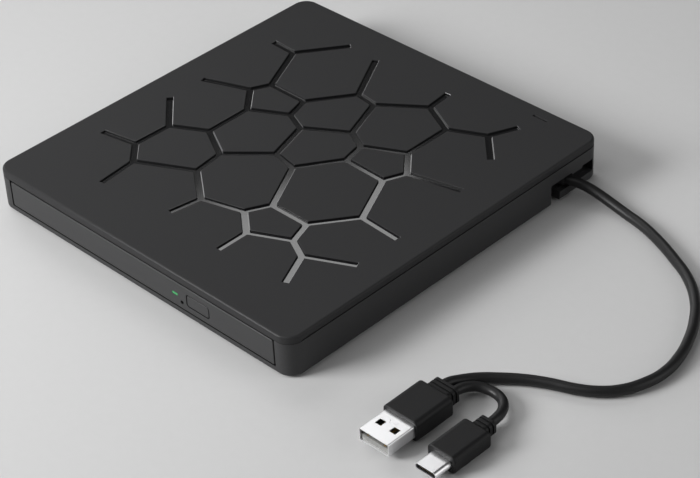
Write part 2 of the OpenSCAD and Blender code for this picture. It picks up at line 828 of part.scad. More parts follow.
module bridge_socket() {
    y0 = chassis_y1 + connector_out;
    color(chip_black)
        difference() {
            span(
                connector_x + [-1, 1],
                [y0, bridge_y0 + 5],
                [connector_z0, connector_z0 + connector_h + 0.6]
            );
            span(
                connector_x + [1, -1],
                [y0 - 1, y0 + 1.5],
                [connector_z0 + 1, connector_z0 + connector_h - 0.4]
            );
        }
}

module lead_wires() {
    z = bridge_z + board_t;
    color(copper)
        for (i = [0 : 3])
            translate([bridge_x[1] - 5, relief_root[1] - 1.05 + 0.7 * i + 3.4, z + 0.35])
                rotate([0, 90, 0])
                    cylinder(r = 0.3, h = bay_x0 - bay_wall - bridge_x[1] + 4.8);
}

module strain_relief() {
    color(black)
        translate(relief_root)
            rotate([0, 0, relief_angle])
                rotate([0, 90, 0])
                    rotate_extrude()
                        polygon([
                            [0, 0.9], [2.2, 0.9], [2.2, 1.8], [1.95, 1.8], [1.95, 2.3], [2.15, 2.3],
                            [2.15, 3], [1.95, 3], [1.95, 3.5], [2.1, 3.5], [2.05, relief_l], [0, relief_l]
                        ]);
}

// Drive chassis

module drive_chassis() {
    color(steel)
        difference() {
            union() {
                span([-drive_hw, drive_hw], [chassis_y0, chassis_y1], [floor_z, roof_z]);
            }
            span(
                [-drive_hw + sheet_t, drive_hw - sheet_t],
                [chassis_y0 - 1, chassis_y1 - sheet_t],
                [plate_z, roof_z + 1]
            );
            span(
                connector_x + [-0.5, 0.5],
                [chassis_y1 - 1, chassis_y1 + 1],
                [connector_z0 - 0.3, connector_z0 + connector_h + 0.3]
            );
            // Mounting holes in the sides, and the round window under the disc motor
            for (s = [-1, 1], k = [-0.63, 0.53])
                translate([s * drive_hw, spindle_y + k * well_r, plate_z + 6.9])
                    rotate([0, 90, 0])
                        cylinder(d = 1.6, h = 4 * sheet_t, center = true);
            for (i = [-1 : 1])
                translate([0.47 * i * drive_hw, chassis_y1 - 16, floor_z - 1])
                    cylinder(d = 5, h = sheet_t + 2);
        }
    color(steel)
        for (x = [rear_board_x[0] + 3, rear_board_x[1] - 3])
            translate([x, rear_board_y[1] - 4, plate_z - eps])
                cylinder(r = 1.6, h = rear_board_z - plate_z + eps);
}

module drive_top_plate() {
    color(steel)
        difference() {
            span([-drive_hw, drive_hw], [chassis_y0, chassis_y1], [roof_z, drive_z1]);
            // Stamped ring that stiffens the plate
            translate([0, spindle_y, drive_z1 - 0.2])
                difference() {
                    cylinder(r = 0.4 * disc_d, h = 1);
                    translate([0, 0, -1])
                        cylinder(r = 0.4 * disc_d - 2.5, h = 3);
                }
            translate([0, spindle_y, drive_z1 - 0.2])
                cylinder(r = table_r + 3, h = 1);
        }
}

module rail_guide() {
    difference() {
        span([rail_x0 + 0.25, guide_x1], [chassis_y0 + 2, chassis_y1 - 8], [plate_z, plate_z + guide_h]);
        span(
            [0, rail_x1 + run_gap],
            [chassis_y0, chassis_y1],
            [rail_z - rail_h / 2 - run_gap, rail_z + rail_h / 2 + run_gap]
        );
    }
}

module right_rail_guide() {
    color(white) rail_guide();
}

module left_rail_guide() {
    color(white) mirror([1, 0, 0]) rail_guide();
}

module rail() {
    z = [rail_z - rail_h / 2, rail_z + rail_h / 2];
    difference() {
        span([rail_x0, rail_x1], [rail_y0, rail_y0 + rail_l], z);
        span(
            [rail_x0 - 1, rail_x1 - rail_t],
            [rail_y0 - 1, rail_y0 + rail_l + 1],
            z + [rail_t, -rail_t]
        );
    }
}

module right_rail() {
    color(steel) rail();
}

module left_rail() {
    color(steel) mirror([1, 0, 0]) rail();
}

module connector_board() {
    color(board_green)
        span(rear_board_x, rear_board_y, [rear_board_z, rear_board_z + thin_board_t]);
}

module drive_connector() {
    z = rear_board_z + thin_board_t;
    color(chip_black) {
        span(connector_x, [rear_board_y[1] - 5, chassis_y1 + eps], [z, skin_z - 0.3]);
        span(
            connector_x,
            [chassis_y1, chassis_y1 + connector_out],
            [connector_z0, connector_z0 + connector_h]
        );
        span(
            connector_x + [2, -2],
            [chassis_y1 + 1, chassis_y1 + connector_out + 1.3],
            [connector_z0 + 1.2, connector_z0 + connector_h - 0.6]
        );
    }
}

module latch_stud() {
    color(bright_steel)
        translate([stud[0], stud[1], plate_z])
            cylinder(r = stud_r, h = stud_z1 - plate_z);
}

module tray_ribbon() {
    r = ribbon_bend_r;
    length_0 = rear_board_y[0] + 2 - ribbon_fold_y;
    length_1 = control_y[0] + 0.5 - ribbon_fold_y;
    color(white)
        translate([ribbon_x[0], ribbon_fold_y, ribbon_z0])
            rotate([90, 0, 90])
                linear_extrude(ribbon_x[1] - ribbon_x[0]) {
                    square([length_0, ribbon_t]);
                    translate([0, 2 * r - ribbon_t])
                        square([length_1, ribbon_t]);
                    difference() {
                        translate([0, r])
                            circle(r);
                        translate([0, r])
                            circle(r - ribbon_t);
                        translate([eps, -1])
                            square(2 * r + 2);
                    }
                }
}

// Tray

module tray_body() {
    runner_z = [rail_z - runner_h / 2, rail_z + runner_h / 2];
    well_top = rim_z - tray_z0 + 2;
    difference() {
        union() {
            span([-tray_hw, tray_hw], [bezel_y, tray_y1], [tray_z0, rim_z]);
            span(
                [-rail_x1 + rail_t + run_gap, rail_x1 - rail_t - run_gap],
                [rail_y0, tray_y1],
                runner_z
            );
        }
        translate([0, spindle_y, well_z])
            cylinder(r = well_r, h = rim_h + 1, $fn = 96);
        // Step for a small disc
        translate([0, spindle_y, well_z - 0.4])
            cylinder(r = disc_d / 3 + 0.4, h = rim_h, $fn = 96);
        span(
            [-tray_hw + skirt_t, tray_hw - skirt_t],
            [bezel_y + skirt_t, tray_y1 - skirt_t],
            [tray_z0 - 1, skin_z]
        );
        // Opening for the traverse, roofed where it runs under the rim
        on_traverse()
            translate([0, 0, tray_z0 - 1])
                linear_extrude(cover_z0 + 0.2 - tray_z0 + 1)
                    polygon(outline);
        intersection() {
            on_traverse()
                translate([0, 0, tray_z0 - 1])
                    linear_extrude(well_top)
                        polygon(outline);
            translate([0, spindle_y, tray_z0 - 1])
                cylinder(r = well_r - 0.8, h = well_top);
        }
        // Pockets in the corners, and scoops for a finger at the well's edge
        difference() {
            span(
                [-tray_hw + corner_rim, tray_hw - corner_rim],
                [bezel_y + pocket_d + corner_rim / 2, tray_y1 - corner_rim],
                [rim_z - corner_sunk, rim_z + 1]
            );
            translate([0, spindle_y, well_z])
                cylinder(r = well_r + corner_rim, h = rim_h + 2, $fn = 96);
        }
        for (a = [135, 315])
            translate([0, spindle_y, well_z])
                rotate([0, 0, a])
                    translate([well_r, 0, 0])
                        cylinder(d = scoop_d, h = rim_h + 1);
        // Pocket for the switch board, on a ledge at each end
        span(pocket_x + [ledge, -ledge], [bezel_y - 1, bezel_y + pocket_d], [skin_z - 0.7, rim_z + 1]);
        span(pocket_x, [bezel_y - 1, bezel_y + pocket_d], [switch_z0, rim_z + 1]);
        // Run of the latch's tab, and ways past the fixed stud and connector
        span(
            [pin_x - 2.2, pin_x + 2.2],
            [bezel_y + pocket_d - 1, latch_tip[1] + 8],
            [skin_z - 1, switch_z0]
        );
        span(
            [stud[0] - stud_r - 0.4, stud[0] + stud_r + 0.4],
            [tray_y1 - skirt_t - 1, tray_y1 + 1],
            [tray_z0 - 1, stud_z1 + 0.3]
        );
        span(rear_board_x + [-1, 1], [tray_y1 - skirt_t - 1, tray_y1 + 1], [tray_z0 - 1, skin_z]);
        for (s = [-1, 1])
            span(
                [s * clip_x - clip_w / 2 - 0.2, s * clip_x + clip_w / 2 + 0.2],
                [bezel_y - 1, bezel_y + skirt_t + 1],
                [bezel_z0 + 0.4, bezel_z0 + 2.1]
            );
        translate([ejector_x, tray_y1 - skirt_t - 1, ejector_z])
            rotate([-90, 0, 0])
                cylinder(r = 0.8, h = skirt_t + 2);
    }
}

module disc_tray() {
    color(dark_grey) {
        tray_body();
        for (p = stakes)
            translate([p[0], p[1], control_z]) {
                cylinder(r = stake_r, h = skin_z - control_z + eps);
                translate([0, 0, thin_board_t])
                    cylinder(r = 2 * stake_r, h = skin_z - control_z - thin_board_t + eps);
            }
        on_traverse()
            for (p = dampers)
                translate([p[0], p[1], traverse_z0])
                    cylinder(r = damper_pin_r, h = skin_z - traverse_z0 + eps);
        translate([latch[0], latch[1], latch_z[0] - 0.1])
            cylinder(r = latch_pin_r, h = skin_z - latch_z[0] + 0.1 + eps);
        translate([latch[0], latch[1], latch_z[1] + 0.15])
            cylinder(r = 2.4, h = skin_z - latch_z[1] - 0.15 + eps);
    }
}

module front_bezel() {
    color(case_grey) {
        on_front()
            difference() {
                linear_extrude(bezel_t)
                    rounded(2 * bezel_hw, bezel_h, 0.6);
                translate([0, 0, -1])
                    linear_extrude(bezel_t - bezel_wall + 1)
                        rounded(2 * (bezel_hw - bezel_rim), bezel_h - 2 * bezel_rim, 0.4);
                translate([0, 0, bezel_t])
                    edge_cut(2 * bezel_hw, bezel_h, 0.6, 0.3);
                translate([button_x, button_z - bezel_zc, 0])
                    linear_extrude(bezel_t + 1)
                        rounded(button_w + 2 * button_gap, button_h + 2 * button_gap, 0.9 + button_gap);
                translate([light_x, button_z - bezel_zc, 0])
                    linear_extrude(bezel_t + 1)
                        square([light_w + 0.2, light_h + 0.2], center = true);
                translate([pin_x, pin_z - bezel_zc, 0])
                    cylinder(d = pin_d, h = bezel_t + 1);
            }
        // Snap arms that hold the panel to the tray
        for (s = [-1, 1]) {
            x = [s * clip_x - clip_w / 2, s * clip_x + clip_w / 2];
            span(x, [bezel_y - 1, bezel_y + 4], [bezel_z0 + 0.6, bezel_z0 + 1.2]);
            span(
                x,
                [bezel_y + skirt_t + 0.2, bezel_y + skirt_t + 1.6],
                [bezel_z0 + 0.6, bezel_z0 + 1.8]
            );
        }
    }
}

module eject_button() {
    color(case_grey)
        on_front()
            translate([button_x, button_z - bezel_zc, bezel_t - button_body]) {
                difference() {
                    linear_extrude(button_body)
                        rounded(button_w, button_h, 0.9);
                    translate([0, 0, button_body])
                        edge_cut(button_w, button_h, 0.9, 0.25);
                }
                linear_extrude(button_body - bezel_wall - 0.1)
                    rounded(button_w + 2 * button_flange, button_h + 2 * button_flange, 0.9);
                translate([0, 0, -button_boss])
                    cylinder(r = 1.2, h = button_boss + eps);
            }
}

module status_light_pipe() {
    color(clear_green)
        translate([light_x, 0, button_z])
            span(
                [-light_w / 2, light_w / 2],
                [front_y + 0.05, bezel_y + 0.7],
                [-light_h / 2, light_h / 2]
            );
}

module status_led() {
    color(white)
        span([light_x - 0.8, light_x + 0.8], [bezel_y + 0.8, bezel_y + 2], [switch_z, switch_z + 1.3]);
}

module switch_board() {
    color(board_green)
        span(pocket_x + [0.2, -0.2], [bezel_y + 0.2, bezel_y + pocket_d - 0.3], [switch_z0, switch_z]);
}

module eject_switch() {
    color(chip_black) {
        span(
            [button_x - 2.5, button_x + 2.5],
            [bezel_y + 0.5, bezel_y + 3.1],
            [switch_z, switch_z + 1.7]
        );
        translate([button_x, bezel_y + 0.6, switch_z + 0.85])
            rotate([90, 0, 0])
                cylinder(r = 0.6, h = 0.65);
    }
}

module traverse_chassis() {
    color(steel)
        on_traverse()
            difference() {
                union() {
                    translate([0, 0, traverse_z0])
                        linear_extrude(traverse_t) {
                            difference() {
                                offset(delta = -frame_gap)
                                    polygon(outline);
                                // Window under the run of the pickup
                                translate([lens_r - 8, -7])
                                    square([well_r - lens_r + 7.4, 14]);
                            }
                            for (p = dampers) {
                                translate(p)
                                    circle(ear_r);
                                bar(p * 0.75, p, 1.7 * ear_r);
                            }
                        }
                    for (u = [rod_u0, rod_u1 - seat_u], v = [-rod_v, rod_v])
                        span([u, u + seat_u], [v - 1.5, v + 1.5], [traverse_z1 - eps, cover_z0]);
                    for (u = [lead_u0, lead_u1 - lead_seat])
                        span(
                            [u, u + lead_seat],
                            [-lead_v - 1.5, -lead_v + 1.5],
                            [traverse_z1 - eps, axis_z + 1.35]
                        );
                }
                along(rod_u0 + 0.2, rod_u1 - 0.2, -rod_v, axis_z, main_rod_d / 2 + shaft_gap);
                along(rod_u0 + 0.2, rod_u1 - 0.2, rod_v, axis_z, side_rod_d / 2 + shaft_gap);
                along(lead_u0 - 1, lead_u1 + 1, -lead_v, axis_z, lead_d / 2 + shaft_gap);
                for (p = dampers)
                    translate([p[0], p[1], traverse_z0 - 1])
                        cylinder(r = damper_pin_r + 0.3, h = traverse_t + 2);
            }
}

module traverse_cover() {
    color(dark_grey)
        difference() {
            intersection() {
                on_traverse()
                    translate([0, 0, cover_z0])
                        linear_extrude(cover_t)
                            offset(delta = -cover_gap)
                                polygon(outline);
                translate([0, spindle_y, cover_z0 - 1])
                    cylinder(r = well_r - 0.8 - cover_gap, h = cover_t + 2);
            }
            translate([0, spindle_y, cover_z0 - 1])
                cylinder(r = table_d / 2 + 0.8, h = cover_t + 2);
            on_traverse()
                translate([0, 0, cover_z0 - 1])
                    linear_extrude(cover_t + 2)
                        translate([lens_r - 6.5, -7.5])
                            square([well_r, 15]);
        }
}

module damper_bushes() {
    color(black)
        on_traverse()
            for (p = dampers)
                translate([p[0], p[1], traverse_z1])
                    difference() {
                        cylinder(r = damper_bush_r, h = skin_z - traverse_z1);
                        translate([0, 0, -1])
                            cylinder(r = damper_pin_r + shaft_gap, h = skin_z);
                    }
}

module main_guide_rod() {
    color(bright_steel)
        on_traverse()
            along(rod_u0 + 0.3, rod_u1 - 0.3, -rod_v, axis_z, main_rod_d / 2);
}

module side_guide_rod() {
    color(bright_steel)
        on_traverse()
            along(rod_u0 + 0.3, rod_u1 - 0.3, rod_v, axis_z, side_rod_d / 2);
}

module feed_motor() {
    color(steel)
        on_traverse() {
            along(lead_u0 - 11.2, lead_u0 - 0.2, -lead_v, axis_z, feed_d / 2);
            along(lead_u0 - 11.8, lead_u0 - 11, -lead_v, axis_z, 0.7);
        }
}

module spindle_stator() {
    z = traverse_z1 + stator_t;
    core_z = cup_z0 + 0.1;
    bearing = table_z0 - 0.9 - z;
    color(copper)
        translate([0, spindle_y, 0])
            difference() {
                union() {
                    translate([0, 0, traverse_z1])
                        cylinder(r = rotor_d / 2 + 0.4, h = stator_t);
                    translate([0, 0, z - eps])
                        cylinder(r = sleeve_r, h = bearing);
                    translate([0, 0, core_z])
                        cylinder(r = 4.4, h = 1.2);
                    for (i = [0 : teeth - 1])
                        rotate([0, 0, 360 / teeth * i])
                            translate([3, -0.8, core_z])
                                cube([rotor_d / 2 - cup_wall - magnet_t - 3.5, 1.6, 1.2]);
                }
                translate([0, 0, z + 0.05])
                    cylinder(r = shaft_d / 2 + shaft_gap, h = bearing + 1);
            }
}

module turntable() {
    cup_r = rotor_d / 2;
    hub_r = hub_d / 2;
    color(black)
        translate([0, spindle_y, 0])
            difference() {
                rotate_extrude()
                    polygon([
                        [0, traverse_z1 + stator_t + 0.1],
                        [shaft_d / 2, traverse_z1 + stator_t + 0.1],
                        [shaft_d / 2, table_z0 - 0.6],
                        [cup_r - cup_wall, table_z0 - 0.6],
                        [cup_r - cup_wall, cup_z0],
                        [cup_r, cup_z0],
                        [cup_r, table_z0],
                        [table_d / 2, table_z0],
                        [table_d / 2, table_z1],
                        [hub_r, table_z1],
                        [hub_r, hub_z1 - 0.6],
                        [hub_r - 0.8, hub_z1],
                        [0, hub_z1]
                    ]);
                for (i = [0 : 2])
                    rotate([0, 0, 120 * i])
                        span(
                            [hub_r - 3.2, hub_r + 1],
                            [-claw_w / 2 - claw_slot, claw_w / 2 + claw_slot],
                            claw_z + [-claw_slot, claw_slot]
                        );
            }
}

module turntable_pad() {
    color(foam_grey)
        translate([0, spindle_y, table_z1])
            rotate_extrude()
                translate([table_d / 2 - 4, 0])
                    square([3.6, pad_t]);
}

module rotor_magnet() {
    outer = rotor_d / 2 - cup_wall - 0.03;
    color(chip_black)
        translate([0, spindle_y, cup_z0 + 0.05])
            rotate_extrude()
                translate([outer - magnet_t, 0])
                    square([magnet_t, table_z0 - 0.65 - cup_z0]);
}

module disc_claw(i) {
    hub_r = hub_d / 2;
    color(white)
        translate([0, spindle_y, 0])
            rotate([0, 0, 120 * i])
                intersection() {
                    span([hub_r - 2.6, hub_r + 1], [-claw_w / 2, claw_w / 2], claw_z);
                    translate([0, 0, claw_peak_z])
                        rotate_extrude()
                            polygon([
                                [0, -1.2], [hub_r - 0.3, -1.2], [hub_r + claw_reach, 0],
                                [hub_r - 0.3, 0.8], [0, 0.8]
                            ]);
                }
}

module disc_claw_1() {
    disc_claw(0);
}

module disc_claw_2() {
    disc_claw(1);
}

module disc_claw_3() {
    disc_claw(2);
}

module pickup_sled() {
    u = [sled_u0, sled_u0 + sled_l];
    color(chip_black)
        on_traverse()
            difference() {
                union() {
                    span(u, [-sled_w / 2, sled_w / 2], [sled_z0, sled_z1]);
                    span(
                        nut_u,
                        [-lead_v + lead_d / 2 + run_gap, -sled_w / 2 + 1],
                        [axis_z - 0.6, axis_z + 0.6]
                    );
                }
                along(u[0] - 1, u[1] + 1, -rod_v, axis_z, main_rod_d / 2 + shaft_gap);
                // Fork that rides on the side rod
                span(
                    u + [-1, 1],
                    [rod_v - side_rod_d / 2 - 0.2, sled_w],
                    [axis_z - side_rod_d / 2 - shaft_gap, axis_z + side_rod_d / 2 + shaft_gap]
                );
                // Side rod reaches into the fork only at its two feet
                span(u + [5, -5], [rod_v - 2, sled_w], [sled_z0 - 1, sled_z1 + 1]);
                // Well for the lens holder
                span([lens_r - 5.8, lens_r + 5.8], [-5.3, 5.3], [sled_z0 + 0.8, sled_z1 + 1]);
            }
}

module lens_holder() {
    color(black)
        on_traverse()
            difference() {
                span([lens_r - 4.8, lens_r + 2.5], [-4, 4], [sled_z0 + 1.6, sled_z1 + 0.2]);
                translate([lens_r, 0, sled_z0])
                    cylinder(d = lens_d, h = sled_z1 - sled_z0 + 1);
            }
}

module objective_lens() {
    z0 = sled_z0 + 1.7;
    z1 = sled_z1 + 0.15;
    dome = 0.2;
    dome_r = (pow(lens_d / 2, 2) + dome * dome) / (2 * dome);
    color("#5b6f9a")
        on_traverse()
            translate([lens_r, 0, 0])
                intersection() {
                    translate([0, 0, z0])
                        cylinder(d = lens_d - 0.04, h = z1 + dome - z0);
                    translate([0, 0, z1 + dome - dome_r])
                        sphere(r = dome_r);
                }
}

module lead_screw() {
    color(bright_steel)
        on_traverse()
            along(lead_u0 - 0.1, lead_u1 - 0.2, -lead_v, axis_z, lead_d / 2);
}

module latch_lever() {
    nose_y = stud[1] + stud_r + 0.4;
    color(white)
        difference() {
            union() {
                translate([0, 0, latch_z[0]])
                    linear_extrude(latch_z[1] - latch_z[0]) {
                        translate(latch)
                            circle(2.6);
                        bar(latch, [latch[0] - 0.8, nose_y + 1], latch_arm_w);
                        bar(latch, latch_tip, latch_arm_w);
                        translate(latch_tip)
                            circle(latch_arm_w / 2);
                        polygon([
                            [stud[0] - stud_r, nose_y], [latch[0] + 0.3, nose_y],
                            [latch[0] + 0.3, nose_y + 1.9], [stud[0] + 0.6, nose_y + 1.9]
                        ]);
                    }
                // Tab that a pin through the front panel pushes
                span(
                    [pin_x - 1.1, pin_x + 1.1],
                    [latch_tip[1] - 0.8, latch_tip[1] + 0.4],
                    [latch_z[0], pin_z + 0.5]
                );
            }
            translate([latch[0], latch[1], latch_z[0] - 1])
                cylinder(r = latch_pin_r + shaft_gap, h = 4);
        }
}

module latch_solenoid() {
    z = [tray_z0 + 0.2, skin_z];
    color(copper) {
        span(solenoid_x + [1.2, -1.2], solenoid_y + [0.4, -0.4], z);
        span([solenoid_x[0], solenoid_x[0] + 1.2 + eps], solenoid_y, z);
        span([solenoid_x[1] - 1.2 - eps, solenoid_x[1]], solenoid_y, z);
    }
}

module ejector_unit() {
    color(steel)
        translate([ejector_x, ejector_y0, ejector_z])
            rotate([-90, 0, 0]) {
                cylinder(r = ejector_r, h = tray_y1 - skirt_t - ejector_y0 - 0.05);
                cylinder(r = 0.6, h = tray_y1 - ejector_y0 - 0.1);
            }
}

module control_board() {
    color(board_green)
        difference() {
            span(control_x, control_y, [control_z, control_z + thin_board_t]);
            for (p = stakes)
                translate([p[0], p[1], control_z - 1])
                    cylinder(r = stake_r + shaft_gap, h = thin_board_t + 2);
        }
}

module control_chips() {
    z = control_z + thin_board_t;
    size = [control_x[1] - control_x[0], control_y[1] - control_y[0]];
    // Places as shares of the board's width and depth, and heights
    chips = [
        [0.61, 0.75, 0.24, 0.81, 1], [0.315, 0.42, 0.29, 0.71, 0.9],
        [0.82, 0.9, 0.29, 0.52, 0.9], [0.81, 0.855, 0.67, 0.81, 1.1]
    ];
    color(chip_black) {
        for (c = chips)
            span(
                [control_x[0], control_x[0]] + size[0] * [c[0], c[1]],
                [control_y[0], control_y[0]] + size[1] * [c[2], c[3]],
                [z, z + c[4]]
            );
        span(ribbon_x + [-1, 1], [control_y[0] + 0.5, control_y[0] + 4], [z, z + 1]);
    }
}

// Cord and plugs

module usb_cord() {
    color(black)
        tube(cord_route, cord_d / 2, relief_dir, [0, -1, 0]);
}

module tether_cord() {
    color(black)
        tube(tether_route, tether_d / 2, [0, 1, 0], [0, -1, 0]);
}

// Moulded grip with a ribbed neck, pointing along -Y from the neck's end
module grip(w, h, l, neck_w, neck_h) {
    corner = 1.8;
    rotate([90, 0, 0]) {
        translate([0, 0, neck_l])
            difference() {
                linear_extrude(l)
                    rounded(w, h, corner);
                translate([0, 0, l])
                    edge_cut(w, h, corner, 0.5);
                rotate([180, 0, 0])
                    edge_cut(w, h, corner, 0.9);
            }
        linear_extrude(neck_l + eps)
            rounded(neck_w - 0.8, neck_h - 0.8, 1.2);
        for (i = [0 : 2])
            translate([0, 0, 1.7 * i])
                linear_extrude(1)
                    rounded(neck_w, neck_h, 1.4);
    }
}

module plug_a_grip() {
    color(black)
        translate(plug_a)
            grip(grip_a_w, grip_a_h, grip_a_l, grip_a_w - 4.4, grip_a_h - 2);
}

module plug_a_shell() {
    hole = 0.2 * plug_a_w;
    hole_x = 0.24 * plug_a_w;
    hole_y = -0.46 * plug_a_l;
    color(bright_steel)
        translate(plug_a + [0, -neck_l - grip_a_l, 0])
            difference() {
                rotate([90, 0, 0])
                    linear_extrude(plug_a_l)
                        difference() {
                            rounded(plug_a_w, plug_a_h, 0.5);
                            rounded(plug_a_w - 2 * plug_t, plug_a_h - 2 * plug_t, 0.2);
                        }
                for (x = [-hole_x, hole_x])
                    span(
                        [x - hole / 2, x + hole / 2],
                        [hole_y - hole / 2, hole_y + hole / 2],
                        [-plug_a_h, plug_a_h]
                    );
                // Curved dimple pressed into the top
                translate([0, -0.2 * plug_a_l, plug_a_h / 2 - plug_t / 2])
                    linear_extrude(plug_t)
                        difference() {
                            circle(r = 0.12 * plug_a_w);
                            translate([0, 0.05 * plug_a_w])
                                circle(r = 0.13 * plug_a_w);
                        }
            }
}

module plug_a_tongue() {
    inner_w = plug_a_w - 2 * plug_t;
    low = -plug_a_h / 2 + plug_t;
    color(white)
        translate(plug_a + [0, -neck_l - grip_a_l, 0])
            span(
                [-inner_w / 2 + 0.05, inner_w / 2 - 0.05],
                [-plug_a_l + 0.6, 0],
                [low + 0.02, low + 1.9]
            );
}

module plug_c_grip() {
    color(black)
        translate(plug_c)
            grip(grip_c_w, grip_c_h, grip_c_l, grip_c_w - 5, grip_c_h - 1.6);
}

module plug_c_shell() {
    color(bright_steel)
        translate(plug_c + [0, -neck_l - grip_c_l, 0])
            rotate([90, 0, 0])
                linear_extrude(plug_c_l)
                    difference() {
                        rounded(plug_c_w, plug_c_h, plug_c_h / 2 - eps);
                        rounded(plug_c_w - 2 * plug_t, plug_c_h - 2 * plug_t, plug_c_h / 2 - plug_t - eps);
                    }
}

module plug_c_insert() {
    inner_w = plug_c_w - 2 * plug_t - 0.1;
    inner_h = plug_c_h - 2 * plug_t - 0.1;
    color(chip_black)
        translate(plug_c + [0, -neck_l - grip_c_l, 0])
            difference() {
                rotate([90, 0, 0])
                    linear_extrude(plug_c_l - 0.2)
                        rounded(inner_w, inner_h, inner_h / 2 - eps);
                span([-3.35, 3.35], [-plug_c_l, -1.5], [-0.4, 0.4]);
            }
}

top_cover();
bottom_case();
rubber_feet();
case_screws();
foam_pads();
lid_light_pipe();
bridge_board();
bridge_chips();
bridge_socket();
lead_wires();
strain_relief();
drive_chassis();
drive_top_plate();
left_rail_guide();
right_rail_guide();
connector_board();
drive_connector();
latch_stud();
tray_ribbon();
disc_tray();
front_bezel();
status_light_pipe();
status_led();
switch_board();
eject_switch();
traverse_chassis();
traverse_cover();
damper_bushes();
main_guide_rod();
side_guide_rod();
feed_motor();
spindle_stator();
control_board();
control_chips();
latch_solenoid();
ejector_unit();
left_rail();
right_rail();
eject_button();
turntable();
turntable_pad();
rotor_magnet();
disc_claw_1();
disc_claw_2();
disc_claw_3();
pickup_sled();
lens_holder();
objective_lens();
lead_screw();
latch_lever();
usb_cord();
tether_cord();
plug_a_grip();
plug_a_shell();
plug_a_tongue();
plug_c_grip();
plug_c_shell();
plug_c_insert();
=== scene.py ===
"""Looks of a slim external disc drive with a short cord and two plugs, laid out as an add-on."""
import math

import bmesh
import bpy
from bpy.props import FloatProperty, FloatVectorProperty, PointerProperty
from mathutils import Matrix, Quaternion, Vector


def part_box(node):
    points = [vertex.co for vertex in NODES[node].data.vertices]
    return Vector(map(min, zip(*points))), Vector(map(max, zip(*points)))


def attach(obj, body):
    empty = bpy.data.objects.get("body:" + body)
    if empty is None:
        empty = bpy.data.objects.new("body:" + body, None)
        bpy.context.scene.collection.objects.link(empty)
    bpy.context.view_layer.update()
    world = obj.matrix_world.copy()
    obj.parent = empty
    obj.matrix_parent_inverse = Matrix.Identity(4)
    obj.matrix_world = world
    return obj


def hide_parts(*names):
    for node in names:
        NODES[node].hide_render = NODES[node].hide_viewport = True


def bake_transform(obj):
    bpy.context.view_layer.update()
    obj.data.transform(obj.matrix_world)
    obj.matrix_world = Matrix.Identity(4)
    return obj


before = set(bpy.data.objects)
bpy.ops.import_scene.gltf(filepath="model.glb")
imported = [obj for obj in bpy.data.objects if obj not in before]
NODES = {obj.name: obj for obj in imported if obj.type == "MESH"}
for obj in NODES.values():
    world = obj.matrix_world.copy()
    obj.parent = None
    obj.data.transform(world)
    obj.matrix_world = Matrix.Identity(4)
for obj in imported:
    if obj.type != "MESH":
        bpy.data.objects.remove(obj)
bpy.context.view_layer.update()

bl_info = {
    "name": "Slim disc drive",
    "version": (1, 0, 0),
    "blender": (4, 5, 0),
    "location": "View3D > Sidebar > Drive",
    "description": "Dresses a slim external disc drive with its cord, plugs and inner works",
    "category": "Object",
}

# One millimetre in metres, and the distance below which two points are one
MM = 0.001
TINY = 1e-6

# Below the first angle faces are one flat, above the second edges are rounded,
# and up to the third the edges of new pieces are shaded smooth
FLAT_ANGLE = math.radians(0.1)
SHARP_ANGLE = math.radians(40)
SMOOTH_ANGLE = math.radians(35)

# Where the cord leaves its strain relief, and its route from there in millimetres:
# x and y from that point, z from the floor
CORD_EXIT = Vector((70.0286, 57.0391, 6.2)) * MM
CORD_ROUTE = (
    (0, 0, 6.2), (4, 1.4, 6), (8, 2.6, 5), (13, 3.2, 3.7), (18, 3.2, 2.6), (24, 2.6, 1.9),
    (32, 1, 1.9), (41, -2, 1.9), (51, -6.5, 1.9), (61, -12, 1.9), (69.5, -19.5, 1.9),
    (76, -28.5, 1.9), (80, -36.5, 1.9), (83, -45.5, 1.9), (84, -54, 1.9), (82.5, -62, 1.9),
    (79.5, -68.5, 1.9), (75, -73.5, 1.9), (69, -77.3, 1.9), (61.5, -80.5, 1.9), (55, -84, 1.9),
    (49, -88.5, 2), (44, -93.5, 2.4), (41, -98.5, 3), (39.8, -102, 3.6), (39.7, -104.6, 3.8),
)

# Where the tether leaves the first plug's neck, and its route to the second plug, in the same way
TETHER_EXIT = Vector((114.1286, -47.5609, 3.8)) * MM
TETHER_ROUTE = (
    (0, 0, 3.8), (0.1, 2, 3.8), (0.9, 4.8, 3.5), (2.8, 7.4, 3.1), (5.6, 8.9, 2.7), (8.8, 9.3, 2.5),
    (11.8, 8.5, 2.5), (14.3, 6.5, 2.7), (16, 3.7, 3), (16.8, 0.6, 3.2), (16.9, -1.4, 3.2),
    (16.9, -3, 3.2),
)

# Camera at the photograph's angle
CAMERA_PLACE = (0.45649, -0.41345, 0.43336)
CAMERA_TURN = (0.830085, 0.408835, 0.188135, 0.329268)
SENSOR_WIDTH = 36.0

# Lamps: name, setting of the power, place, target, size, and beam in degrees
LAMPS = (
    ("key_lamp", "key", (-0.45, -0.8, 0.5), (0, 0, 0.01), (0.5, 0.4), 75.0),
    ("rim_lamp", "rim", (0.95, 0.42, 0.45), (0, 0, 0.01), (1.0, 0.8), 90.0),
    ("top_lamp", "top", (-0.12, -0.42, 0.8), (0, 0, 0.01), (0.6, 0.6), 180.0),
    ("back_panel", "panel", (-0.8, 0.43, 1.0), (0.153, -0.039, 0.25), (0.75, 0.5), 180.0),
    ("strip_lamp", "strip", (-0.95, 0.2, 0.32), (0, 0, 0.016), (0.7, 0.5), 75.0),
)
FLOOR_SIZE = 8.0
FLOOR_LEVEL = -0.2 * MM

# Grain of plastic: its waves for each metre on the case, its dark and light share of the colour,
# and how much its specks and a slow drift add to the roughness
CASE_GRAIN = 5000.0
GRAIN_DARK, GRAIN_LIGHT = 0.86, 1.14
SPECK_ROUGH, DRIFT_ROUGH = 0.06, 0.05

